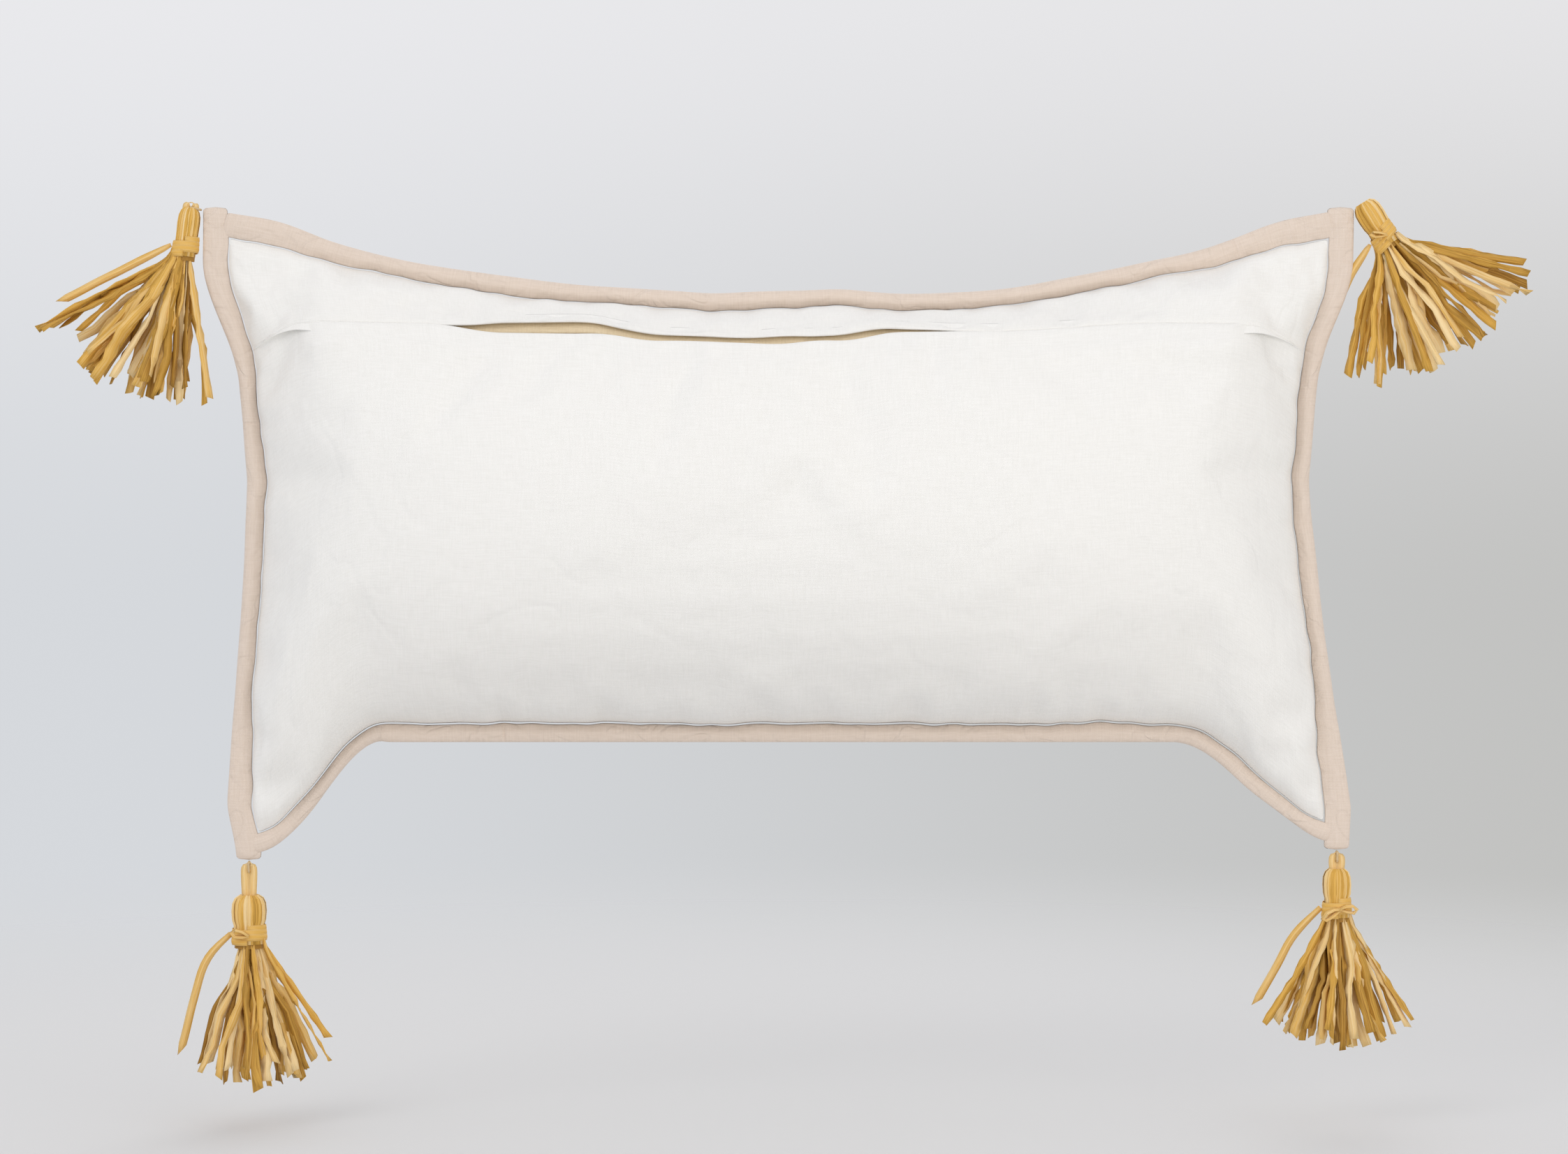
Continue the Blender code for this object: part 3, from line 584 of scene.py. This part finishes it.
def cut_panel(name, panel, node, lip):
    """One panel of the swollen cushion. Its zip edge is the upper lip (1), the lower lip (-1) or none (0)."""
    shape = bmesh.new()
    shape.from_mesh(cushion.data)
    bmesh.ops.delete(shape, geom=[f for f in shape.faces if f.material_index != panel], context="FACES")
    across_layer, level_layer = (shape.verts.layers.float[key] for key in ("across", "level"))
    if lip:
        fold_lip(shape, level_layer, lip)
    bmesh.ops.recalc_face_normals(shape, faces=shape.faces)
    if sum(square.normal.y for square in shape.faces) * (1 if panel == FRONT else -1) < 0:
        bmesh.ops.reverse_faces(shape, faces=shape.faces)
    cut = shape.loops.layers.uv.new("cloth")
    for square in shape.faces:
        for corner in square.loops:
            rise = corner.vert[level_layer]
            height = LOWER_CUT * rise if rise < 1 else LOWER_CUT + UPPER_CUT * (rise - 1)
            corner[cut].uv = (HALF_WIDTH * corner.vert[across_layer], height)
    piece = show(name, shape, off_white_cotton)
    thicken(piece, COTTON, -1, 1)
    declare(piece, "pillow", node)


cut_panel("front_panel", FRONT, "cover_front", 0)
cut_panel("lower_back_panel", LOWER_BACK, "cover_back_lower", -1)
cut_panel("upper_back_panel", UPPER_BACK, "cover_back_upper", 1)
bpy.data.objects.remove(cushion, do_unlink=True)

# ---------------------------------------------------------------------------------------------------------
# Padded flange
# Bias strips of blush cotton, folded over wadding and sewn into the seam. They roll up like piping along the
# edges and open flat at the corners; the side strips run the full height and close square.

blush_cotton = woven_cloth("blush_cotton", (0.78, 0.665, 0.575), (0.71, 0.595, 0.50), threads=2000,
                           crease_scale=60, crease_height=0.0005, sheen=0.35)
ROLLED_THICKNESS = 0.0085
FLAT_THICKNESS = 0.0045
WADDING_INSET = 0.0012
STRIP_SIDES = 18
STRIP_STEP = 0.0032
STRIP_LAP = 0.0045          # the upper and lower strips run this far in under the side strips
JOIN_STEPS = (-0.0018, -0.0010, -0.0005, 0, 0.0005, 0.0010, 0.0018)
STRIP_SEED = {"flange_top": 1, "flange_bottom": 2, "flange_left": 3, "flange_right": 4}

# Fine noise that mixes tones, varies the roughness and raises the surface
fine_grain, given, put_out = effect_group("fine_grain", {"Vector": "Vector", "Scale": "Float"}, ["Height"])
grain = add_node(fine_grain, "TexNoise", {"Vector": given["Vector"], "Scale": given["Scale"], "Detail": 4})
fill_inputs(fine_grain, put_out, {"Height": grain.outputs["Fac"]})


def mottled(name, dark, light, scale, roughness, metallic=0.0):
    """A material of two tones, mixed by fine grain."""
    material, tree, shader = new_material(name)
    place = add_node(tree, "TexCoord", {}).outputs["Object"]
    grain = add_node(tree, "Group", {"Vector": place, "Scale": scale}, node_tree=fine_grain).outputs["Height"]
    fill_inputs(tree, shader, {
        "Base Color": blend(tree, grain, (*dark, 1), (*light, 1)),
        "Roughness": remap(tree, grain, 0, 1, *roughness),
        "Normal": bump(tree, grain, 0.0001, 0.5),
        "Metallic": metallic})
    return material


white_fibre = mottled("white_fibre", (0.78, 0.78, 0.77), (0.90, 0.90, 0.89), 240, (0.85, 0.98))


def places_along(low, high, joins):
    """Evenly spaced places with a few more round each join."""
    count = round((high - low) / STRIP_STEP)
    places = [mix(low, high, index / count) for index in range(count + 1)]
    return sorted(places + [join + step for join in joins for step in JOIN_STEPS])


def strip_point(turn, width, thickness):
    """The puffed section: distance out from the seam, and y, at this share of a turn round it."""
    angle = 2 * math.pi * turn
    out = width * (0.5 - 0.5 * math.cos(angle))
    fullness = 0.34 + 0.66 * ease(out, 0, 0.45 * width)
    return out, 0.5 * thickness * fullness * math.copysign(abs(math.sin(angle)) ** 0.8, math.sin(angle))


def sweep_strip(node, stations, joins, inset):
    """The section swept along stations of (place, seam, outward, width, flatness), inset from its face."""
    shape = bmesh.new()
    turn_layer = shape.verts.layers.float.new("turn")
    along_layer = shape.verts.layers.float.new("along")
    ring = bmesh.ops.create_circle(shape, segments=STRIP_SIDES, radius=1)["verts"]
    for index, vert in enumerate(ring):
        vert[turn_layer] = index / STRIP_SIDES
    edges = list(shape.edges)
    last = len(stations) - 1
    first_edges = edges
    for number, (place, seam, outward, width, flatness) in enumerate(stations):
        if number:
            grown = bmesh.ops.extrude_edge_only(shape, edges=edges)["geom"]
            ring = [g for g in grown if isinstance(g, bmesh.types.BMVert)]
            fresh = set(ring)
            edges = [g for g in grown if isinstance(g, bmesh.types.BMEdge) and set(g.verts) <= fresh]
        pinch = 1 - sum(0.22 * hump(place, join, 0.0006) for join in joins)
        thickness = mix(ROLLED_THICKNESS, FLAT_THICKNESS, flatness) * pinch
        thickness *= 1 + 0.12 * ripple(place, STRIP_SEED[node], 0.010, 3) + 0.10 * ripple(place, 0, 0.045, 4)
        thickness *= 1 - 0.40 * (hump(number, 0, 0.8) + hump(number, last, 0.8))
        end = inset * ((number == 0) - (number == last))
        for vert in ring:
            out, y = strip_point(vert[turn_layer], width - 2 * inset, thickness - 2 * inset)
            out += inset
            seam_share = 1 - ease(out, 0, 0.5 * width)
            y *= 1 + 0.25 * seam_share * ripple(place, 5, 0.007, 5)
            x = seam[0] + outward[0] * out + abs(outward[1]) * end
            z = seam[1] + outward[1] * out + abs(outward[0]) * end
            if node == "flange_bottom" and abs(x) < REST_HALF_LENGTH:
                z = max(z, 0)
            vert.co = (x, y, z)
            vert[along_layer] = place
    bmesh.ops.edgeloop_fill(shape, edges=first_edges)
    bmesh.ops.edgeloop_fill(shape, edges=edges)
    bmesh.ops.recalc_face_normals(shape, faces=shape.faces)
    cut = shape.loops.layers.uv.new("cloth")
    for square in shape.faces:
        for corner in square.loops:
            corner[cut].uv = (corner.vert[along_layer], 0.03 * corner.vert[turn_layer])
    return shape


def sew_strip(name, node, stations, joins):
    """A strip of the flange and the roll of wadding inside it."""
    strip = show(name, sweep_strip(node, stations, joins, 0), blush_cotton)
    smooth = strip.modifiers.new("smooth", "SUBSURF")
    smooth.levels = 1
    smooth.render_levels = 1
    declare(strip, "pillow", node)
    roll = show(name + "_wadding", sweep_strip(node, stations, joins, WADDING_INSET), white_fibre)
    declare(roll, "pillow", node.replace("flange", "flange_wadding"))


def level_strip(name, node, level, edge_of, seam_of, up, joins):
    """The strip along the upper (up = 1) or lower (up = -1) edge, which ends against the side strips."""
    low = cover_point(-1, level)[0] - STRIP_LAP
    high = cover_point(1, level)[0] + STRIP_LAP
    stations = []
    for x in places_along(low, high, joins):
        slope = (edge_of(x + 0.001) - edge_of(x - 0.001)) / 0.002
        length = math.hypot(1, slope)
        width = abs(edge_of(x) - seam_of(x)) / length + 0.0006 * ripple(x, up, 0.03, 6)
        if up < 0:
            width += 0.0006 if abs(x) < REST_HALF_LENGTH else -0.0035 * ease(abs(x), 0.250, 0.280)
        stations.append((x, (x, seam_of(x)), (-up * slope / length, up / length), width, flatness_along(x)))
    sew_strip(name, node, stations, joins)


def upright_strip(name, node, side, joins):
    stations = []
    for z in places_along(-LOWER_EAR_DROP[side], CORNER_TOP, joins):
        width = side_edge(z, side) - side_seam(z, side) + 0.0006 * ripple(z, side, 0.03, 6)
        stations.append((z, (side * side_seam(z, side), z), (side, 0), width, flatness_up(z, side)))
    sew_strip(name, node, stations, joins)


level_strip("upper_strip", "flange_top", 2, top_edge, top_seam, 1, [0.2435])
level_strip("lower_strip", "flange_bottom", 0, bottom_edge, bottom_seam, -1, [-0.145])
upright_strip("left_strip", "flange_left", -1, [0.1686])
upright_strip("right_strip", "flange_right", 1, [])

# ---------------------------------------------------------------------------------------------------------
# Zip
# Two khaki woven tapes with a fine nylon coil between them, sewn behind the lips. They follow the gape in the
# middle and run straight to the metal stops; the slider is parked at the right-hand end.

khaki_tape = woven_cloth("khaki_tape", (0.85, 0.71, 0.49), (0.76, 0.61, 0.40), threads=1500, crease_scale=80,
                         crease_height=0.0002, sheen=0.15)
khaki_nylon = mottled("khaki_nylon", (0.62, 0.46, 0.28), (0.78, 0.62, 0.42), 700, (0.32, 0.45))
COIL_DEPTH = 0.0040         # from the cloth's face to the middle of the coil
COIL_HALF_WIDTH = 0.0019
COIL_PITCH = 0.0011
COIL_WIRE = 0.00036
TAPE_REACH = 0.0115
TAPE_THICKNESS = 0.0004
GAPE_SHIFT = 0.0018         # in the gape the coil lies nearer the lower lip


def coil_line(x):
    open_share = 1 - ease(abs(x), 0.13, 0.18)
    return mix(ZIP_HEIGHT, zip_line(x) - GAPE_SHIFT, open_share)


def behind_cloth(x, reach, depth):
    """A place reach above the coil's line (below if negative) along the cloth, and depth behind it."""
    z = coil_line(x)
    surface = Vector((x, -back_depth(x, z, HALF_THICKNESS), z))
    return surface - DOWN_CLOTH * reach - OUT_OF_CLOTH * depth


TAPE_COLUMNS = 220
TAPE_ROWS = 5
for half, way in (("upper", 1), ("lower", -1)):
    tape_shape = bmesh.new()
    cut = tape_shape.loops.layers.uv.new("cloth")
    grid = bmesh.ops.create_grid(tape_shape, x_segments=TAPE_COLUMNS, y_segments=TAPE_ROWS, size=0.5)["verts"]
    for square in tape_shape.faces:
        for corner in square.loops:
            corner[cut].uv = (2 * ZIP_HALF_LENGTH * corner.vert.co.x, TAPE_REACH * corner.vert.co.y)
    for vert in grid:
        out = vert.co.y + 0.5
        x = 2 * ZIP_HALF_LENGTH * vert.co.x
        reach = way * mix(COIL_HALF_WIDTH - 0.0004, TAPE_REACH, out)
        depth = COIL_DEPTH - 0.0006 + 0.0008 * out + 0.0002 * ripple(x, way, 0.02, 8)
        vert.co = behind_cloth(x, reach, depth)
    bmesh.ops.recalc_face_normals(tape_shape, faces=tape_shape.faces)
    if sum(square.normal.y for square in tape_shape.faces) > 0:
        bmesh.ops.reverse_faces(tape_shape, faces=tape_shape.faces)
    tape = show(half + "_tape", tape_shape, khaki_tape)
    thicken(tape, TAPE_THICKNESS, -1, 0)
    declare(tape, "pillow", "zip_tape_" + half)

    coil_shape = bmesh.new()
    for tooth in range(round(2 * ZIP_HALF_LENGTH / COIL_PITCH)):
        x = -ZIP_HALF_LENGTH + (tooth + (0.5 if way > 0 else 0)) * COIL_PITCH
        middle = behind_cloth(x, way * 0.45 * COIL_HALF_WIDTH, COIL_DEPTH)
        outer = behind_cloth(x, way * COIL_HALF_WIDTH, COIL_DEPTH)
        lie = (outer - middle).to_track_quat("Z", "X").to_matrix().to_4x4()
        bmesh.ops.create_cone(coil_shape, cap_ends=True, segments=6, radius1=COIL_WIRE, radius2=COIL_WIRE,
                              depth=1.35 * COIL_HALF_WIDTH, matrix=Matrix.Translation(middle) @ lie)
    coil = show(half + "_coil", coil_shape, khaki_nylon, 50)
    declare(coil, "pillow", "zip_coil_" + half)


def coat(node, material):
    """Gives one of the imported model's own pieces its material."""
    mesh = frame["nodes"][node].data
    mesh.materials.clear()
    mesh.materials.append(material)


dull_nickel = mottled("dull_nickel", (0.42, 0.40, 0.37), (0.60, 0.58, 0.54), 900, (0.25, 0.5), metallic=1.0)
for node in ("zip_slider", "zip_stop_left", "zip_stop_right"):
    coat(node, dull_nickel)

# ---------------------------------------------------------------------------------------------------------
# Raffia tassels
# Flat golden paper-raffia ribbons, folded over a loop of the same ribbon and bound round the neck. They fan
# out stiffly, with kinks and ragged tips. The loop swings on the corner's tack, and the tassel in the loop.

DARK_GOLD = (0.27, 0.120, 0.010, 1)
MIDDLE_GOLD = (0.75, 0.430, 0.078, 1)
PALE_GOLD = (0.92, 0.71, 0.39, 1)

raffia, tree, shader = new_material("raffia")
along_strip = stretch(tree, add_node(tree, "TexCoord", {}).outputs["UV"], (1600, 30, 1))
fibres = add_node(tree, "TexNoise", {"Vector": along_strip, "Scale": 1, "Detail": 4, "Roughness": 0.65})
fibres = fibres.outputs["Fac"]
shade = add_node(tree, "Attribute", {}, attribute_name="shade").outputs["Fac"]
tone = calculate(tree, "ADD", shade, remap(tree, fibres, 0.25, 0.75, -0.28, 0.28))
golds = add_node(tree, "ValToRGB", {"Fac": tone})
golds.color_ramp.elements[0].color = DARK_GOLD
golds.color_ramp.elements[1].color = PALE_GOLD
golds.color_ramp.elements.new(0.5).color = MIDDLE_GOLD
fill_inputs(tree, shader, {
    "Base Color": golds.outputs["Color"],
    "Roughness": remap(tree, fibres, 0, 1, 0.38, 0.66),
    "Normal": bump(tree, fibres, 0.0003, 0.7),
    "Specular IOR Level": 0.3})

NECK_TOP = 0.0143           # down from the bar of the loop that the ribbons fold over
NECK_END = 0.0243
HEAD_FLATNESS = 0.85
HEAD_FOLDS = 10
STRANDS = 50
STRAND_STEPS = 14
STRAND_WIDTH = (0.0028, 0.0060)
STRAY_WIDTH = (0.0034, 0.0048)
SKIRT_DEPTH = math.radians(13)
RAFFIA_THICKNESS = 0.00035
WRAP_WIDTH = 0.0036
WRAP_TURNS = 3
TURN_STEPS = 16
PETAL_WIDTH = 0.0028
PETAL_OUTLINE = [(0, 0), (0.35, 0.30), (0.75, 0.38), (1.0, 0.1), (0.8, -0.2), (0.4, -0.15), (0, 0)]
TAIL_STEPS = 16
TAIL_WIDTH = 0.0042
LOOP_STEPS = 12             # each side of the loop's middle
LOOP_BEND = 0.45            # the share of each side that bends round the tack
LOOP_RADIUS = 0.0022
LOOP_ARCH = {"ul": 0.0028, "ur": 0.0028, "ll": 0.0050, "lr": 0.0050}
FRONTWARD = Vector((0, -1, 0))


def raffia_shape():
    shape = bmesh.new()
    shape.verts.layers.float.new("shade")
    shape.loops.layers.uv.new("strip")
    return shape


def lay_ribbon(shape, path, facing, widths, shade, crease=0.12, ragged=0.0):
    """A flat ribbon, creased lengthwise, along the points of path. At each point it has its own width and a
    direction that its flat side faces. ragged slants its tip."""
    last = len(path) - 1
    spots = {}
    layer = shape.verts.layers.float["shade"]
    cut = shape.loops.layers.uv["strip"]
    for vert in bmesh.ops.create_grid(shape, x_segments=2, y_segments=last, size=0.5)["verts"]:
        step = round((vert.co.y + 0.5) * last)
        across = round(2 * vert.co.x)
        along = (path[min(step + 1, last)] - path[max(step - 1, 0)]).normalized()
        side = along.cross(facing[step]).normalized()
        up = side.cross(along)
        fold = up * crease * widths[step] * (1 - abs(across))
        vert.co = path[step] + side * across * widths[step] / 2 + fold
        if step == last:
            vert.co += along * ragged * across
        vert[layer] = shade
        spots[vert] = (37 * shade + across * widths[step] / 2, (path[step] - path[0]).length)
    for square in {square for vert in spots for square in vert.link_faces}:
        for corner in square.loops:
            corner[cut].uv = spots[corner.vert]


def strand(shape, neck, out, share_deep, length, width, kinks, chance):
    """One ribbon of the skirt. It leaves the neck straight down, opens to the angle out, and kinks."""
    share_out = max(min(out / math.radians(30), 1), -1)
    spot = Vector((neck * share_out, neck * HEAD_FLATNESS * share_deep, -NECK_END + 0.003))
    path = [spot]
    facing = []
    roll = chance.uniform(-0.8, 0.8)
    twist = chance.uniform(-0.8, 0.8)
    for step in range(STRAND_STEPS + 1):
        share = step / STRAND_STEPS
        opening = ease(share, -0.12, 0.14)
        swing = out * opening + sum(turn for place, turn, _ in kinks if share > place)
        deep = share_deep * SKIRT_DEPTH * opening + sum(dip for place, _, dip in kinks if share > place)
        along = Vector((math.sin(swing) * math.cos(deep), math.sin(deep), -math.cos(swing) * math.cos(deep)))
        face = FRONTWARD if share_deep < 0 else -FRONTWARD
        facing.append(Matrix.Rotation(roll + twist * share + chance.gauss(0, 0.28), 3, along) @ face)
        if step < STRAND_STEPS:
            path.append(path[-1] + along * length / STRAND_STEPS)
    widths = []
    for step in range(STRAND_STEPS + 1):
        widths.append(width * mix(0.5, 1, ease(step / STRAND_STEPS, 0, 0.3)) * chance.uniform(0.78, 1.2))
    widths[-1] = width * chance.uniform(0.85, 1.15)
    lay_ribbon(shape, path, facing, widths, chance.uniform(0.10, 0.95), chance.uniform(-0.25, 0.25),
               chance.uniform(-0.0014, 0.0014))


def zigzag(chance):
    """Two or three sharp kinks, each turning back most of the one before."""
    kinks = []
    turn = math.radians(chance.choice((-1, 1)) * chance.uniform(4, 19))
    place = chance.uniform(0.12, 0.45)
    for _ in range(chance.choice((2, 2, 3))):
        kinks.append((place, turn, math.radians(chance.gauss(0, 6))))
        turn *= -chance.uniform(0.7, 1.3)
        place += chance.uniform(0.15, 0.35)
    return kinks


def head_of(shape, head, neck, chance):
    """A dark core of painted shade, with ribbons that come up the front, fold over the loop's bar and go down
    the back.
    """
    layer = shape.verts.layers.float["shade"]
    for vert in bmesh.ops.create_icosphere(shape, subdivisions=2, radius=1)["verts"]:
        vert.co = (0.84 * head * vert.co.x, 0.7 * head * vert.co.y, -0.0085 + 0.0072 * vert.co.z)
        # The core's low shade value darkens it: painted shade that fills the gaps between the ribbons.
        vert[layer] = 0.15
    stem = bmesh.ops.create_cone(shape, cap_ends=True, segments=12, radius1=neck, radius2=0.9 * neck,
                                 depth=0.014, matrix=Matrix.Translation((0, 0, -0.0195)))["verts"]
    for vert in stem:
        vert.co.y *= HEAD_FLATNESS
        # The neck's stem is darker still: painted shade under the wrap and the ribbons.
        vert[layer] = 0.1
    outline = [(NECK_END, neck), (NECK_TOP, neck), (0.0115, head), (0.0070, 1.04 * head), (0.0030, head),
               (0.0004, 0.86 * head), (-0.0012, 0.60 * head), (-0.0006, 0.30 * head)]
    for number in range(HEAD_FOLDS):
        share = -1 + 2 * (number + chance.uniform(0.25, 0.75)) / HEAD_FOLDS
        round_front = math.sqrt(1 - share * share)
        front = [Vector((share * wide, -HEAD_FLATNESS * round_front * wide - 0.0002, -down))
                 for down, wide in outline]
        path = front + [Vector((p.x, -p.y, p.z)) for p in reversed(front)]
        facing = [p - Vector((0, 0, -0.008)) for p in path]
        widths = [max(3.9 * wide / HEAD_FOLDS, 0.0014) * chance.uniform(0.85, 1.15) for _, wide in outline]
        lay_ribbon(shape, path, facing, widths + widths[::-1], chance.uniform(0.3, 0.9),
                   chance.uniform(0.08, 0.2))


def finish_raffia(name, shape, hang, body, node):
    shape.transform(hang)
    piece = show(name, shape, raffia, 24)
    thicken(piece, RAFFIA_THICKNESS, 0, 0)
    declare(piece, body, node)


hinges = {joint["name"]: Vector(joint["pos_m"]) for joint in frame["joints"]}


def raffia_tassel(tag, side, tilt, drop, raise_, head, neck, fan, lean, length, strays, tail, slant, petals):
    """A tassel on its loop, with angles in degrees. The loop hangs by drop, the tassel is raised in it by
    raise_, and head and neck are half widths. strays are the odd strands out, as (angle, length). tail is the
    tie's loose end, as (first angle, last angle, length), petals are its bow, as (width, rise), and slant is
    how much its turns climb."""
    chance = random.Random("tassel_" + tag)
    turn = Matrix.Rotation(-side * math.radians(tilt), 4, "Y")
    at_hinge = Matrix.Translation(hinges["side_swing_" + tag]) @ turn
    at_eye = at_hinge @ Matrix.Translation((0, 0, raise_ - drop))
    body = "tassel_" + tag

    bunch = raffia_shape()
    head_of(bunch, head, neck, chance)
    for number in range(STRANDS):
        place = -1 + 2 * (number + chance.random()) / STRANDS
        deep = math.sqrt(1 - place * place) * chance.choice((-1, 1)) * chance.uniform(0.15, 1)
        out = math.radians(side * lean + fan * place * chance.uniform(0.9, 1.0))
        strand(bunch, neck, out, deep, length * chance.uniform(0.86, 1.02), chance.uniform(*STRAND_WIDTH),
               zigzag(chance), chance)
    for angle, reach in strays:
        kinks = [(chance.uniform(0.4, 0.7), math.radians(chance.uniform(-8, 8)), 0)]
        strand(bunch, neck, math.radians(angle - side * tilt), chance.uniform(-0.6, 0.2), reach,
               chance.uniform(*STRAY_WIDTH), kinks, chance)
    finish_raffia(body + "_bunch", bunch, at_eye, body, body + "_strands")

    wrap = raffia_shape()
    steps = TURN_STEPS * WRAP_TURNS
    path = []
    for step in range(steps + 1):
        angle = 2 * math.pi * step / TURN_STEPS
        radius = neck + 0.0009 + 0.0006 * step / steps
        x = radius * math.sin(angle)
        down = mix(NECK_TOP + 0.0014, NECK_END - 0.0014, step / steps)
        path.append(Vector((x, -HEAD_FLATNESS * radius * math.cos(angle), -down + slant * x)))
    facing = [Vector((p.x, p.y, 0)) for p in path]
    lay_ribbon(wrap, path, facing, [WRAP_WIDTH] * len(path), 0.62, 0.08)
    front = Vector((0.1 * neck, -HEAD_FLATNESS * neck - 0.0022, -0.5 * (NECK_TOP + NECK_END)))
    for wide, rise in petals:
        path = [front + Vector((wide * a, -0.0008 * math.sin(math.pi * a), rise * a + abs(wide) * 0.7 * b))
                for a, b in PETAL_OUTLINE]
        lay_ribbon(wrap, path, [Vector((0.3, -0.5, 1))] * len(path), [PETAL_WIDTH] * len(path), 0.7, 0.1)
    finish_raffia(body + "_wrap", wrap, at_eye, body, body + "_neck_tie")

    loose = raffia_shape()
    first_angle, last_angle, reach = tail
    path = [Vector((-neck - 0.0021, 0, -0.5 * (NECK_TOP + NECK_END)))]
    facing = []
    for step in range(TAIL_STEPS + 1):
        share = step / TAIL_STEPS
        angle = math.radians(mix(first_angle, last_angle, ease(share, 0, 0.45)))
        angle += math.radians(9) * ripple(share, side, 0.3, drop)
        facing.append(Vector((math.cos(angle), 0, math.sin(angle))).lerp(FRONTWARD, ease(share, -0.1, 0.2)))
        if step < TAIL_STEPS:
            path.append(path[-1] + Vector((-math.sin(angle), 0, -math.cos(angle))) * reach / TAIL_STEPS)
    widths = [mix(0.0030, TAIL_WIDTH, ease(step / TAIL_STEPS, 0, 0.3)) for step in range(TAIL_STEPS)]
    widths.append(0.002)
    lay_ribbon(loose, path, facing, widths, 0.66, 0.14, 0.002)
    finish_raffia(body + "_loose_end", loose, at_eye, body, body + "_tie_tail")

    ring = raffia_shape()
    path = []
    facing = []
    widths = []
    for step in range(-LOOP_STEPS, LOOP_STEPS + 1):
        share = abs(step) / LOOP_STEPS
        if share <= LOOP_BEND:
            over = math.pi * share * 0.5 / LOOP_BEND
            spot = Vector((LOOP_RADIUS * math.sin(over), 0, LOOP_ARCH[tag] * math.cos(over)))
        else:
            down = (share - LOOP_BEND) / (1 - LOOP_BEND)
            narrow = mix(1, 0.75, ease(down, 0, 1))
            spot = Vector((LOOP_RADIUS * narrow * (1 - ease(down, 0.85, 1)), 0, -drop * min(down / 0.9, 1)))
        spot.x *= math.copysign(1, step)
        path.append(spot)
        flat = ease(share, 0.12, 0.32) * (1 - ease(share, 0.85, 1))
        radial = Vector((spot.x, 0, spot.z if share < 0.5 else 0.001 - 0.01 * ease(share, 0.85, 1)))
        facing.append(radial.normalized().lerp(FRONTWARD, flat))
        widths.append(mix(0.0015, 0.0043, flat))
    lay_ribbon(ring, path, facing, widths, 0.8, 0.1)
    finish_raffia("loop_" + tag + "_ribbon", ring, at_hinge, "loop_" + tag, body + "_loop")


raffia_tassel("ul", -1, tilt=8, drop=0.0062, raise_=0.0047, head=0.0056, neck=0.0056, fan=27, lean=12,
              length=0.081, strays=[(-63.5, 0.084), (-62, 0.078), (-60, 0.074), (-58, 0.082), (9, 0.079)],
              tail=(57, 55, 0.066), slant=0.15, petals=[])
raffia_tassel("ur", 1, tilt=32, drop=0.0062, raise_=0.0078, head=0.0068, neck=0.0062, fan=43, lean=1,
              length=0.074, strays=[(78, 0.070), (74, 0.073), (66, 0.077), (-12.5, 0.070)],
              tail=(66, 59, 0.048), slant=0.35, petals=[(-0.007, 0.004)])
raffia_tassel("ll", -1, tilt=0, drop=0.0154, raise_=0.0016, head=0.0087, neck=0.0078, fan=19.5, lean=-2.5,
              length=0.079, strays=[(36, 0.063), (31, 0.074)],
              tail=(50, 14, 0.070), slant=0.05, petals=[(-0.009, 0.001)])
raffia_tassel("lr", 1, tilt=0, drop=0.0062, raise_=0.0010, head=0.0073, neck=0.0064, fan=23, lean=0,
              length=0.072, strays=[(31.5, 0.068), (29, 0.070), (-29, 0.068)],
              tail=(48, 30, 0.062), slant=0.08, petals=[(-0.009, -0.006), (0.009, -0.001)])

straw_thread = mottled("straw_thread", (0.52, 0.36, 0.18), (0.70, 0.54, 0.32), 1200, (0.55, 0.75))
for tag in ("ul", "ur", "ll", "lr"):
    coat("corner_tack_" + tag, straw_thread)

# ---------------------------------------------------------------------------------------------------------
# Insert
# The polyester filling in its own white casing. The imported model's own pieces serve, hidden in the cover.

insert_cloth = woven_cloth("insert_cloth", (0.86, 0.86, 0.85), (0.78, 0.78, 0.77), coordinates="Object")
coat("insert_casing_front", insert_cloth)
coat("insert_casing_back", insert_cloth)
coat("insert_filling", white_fibre)

bpy.context.view_layer.update()
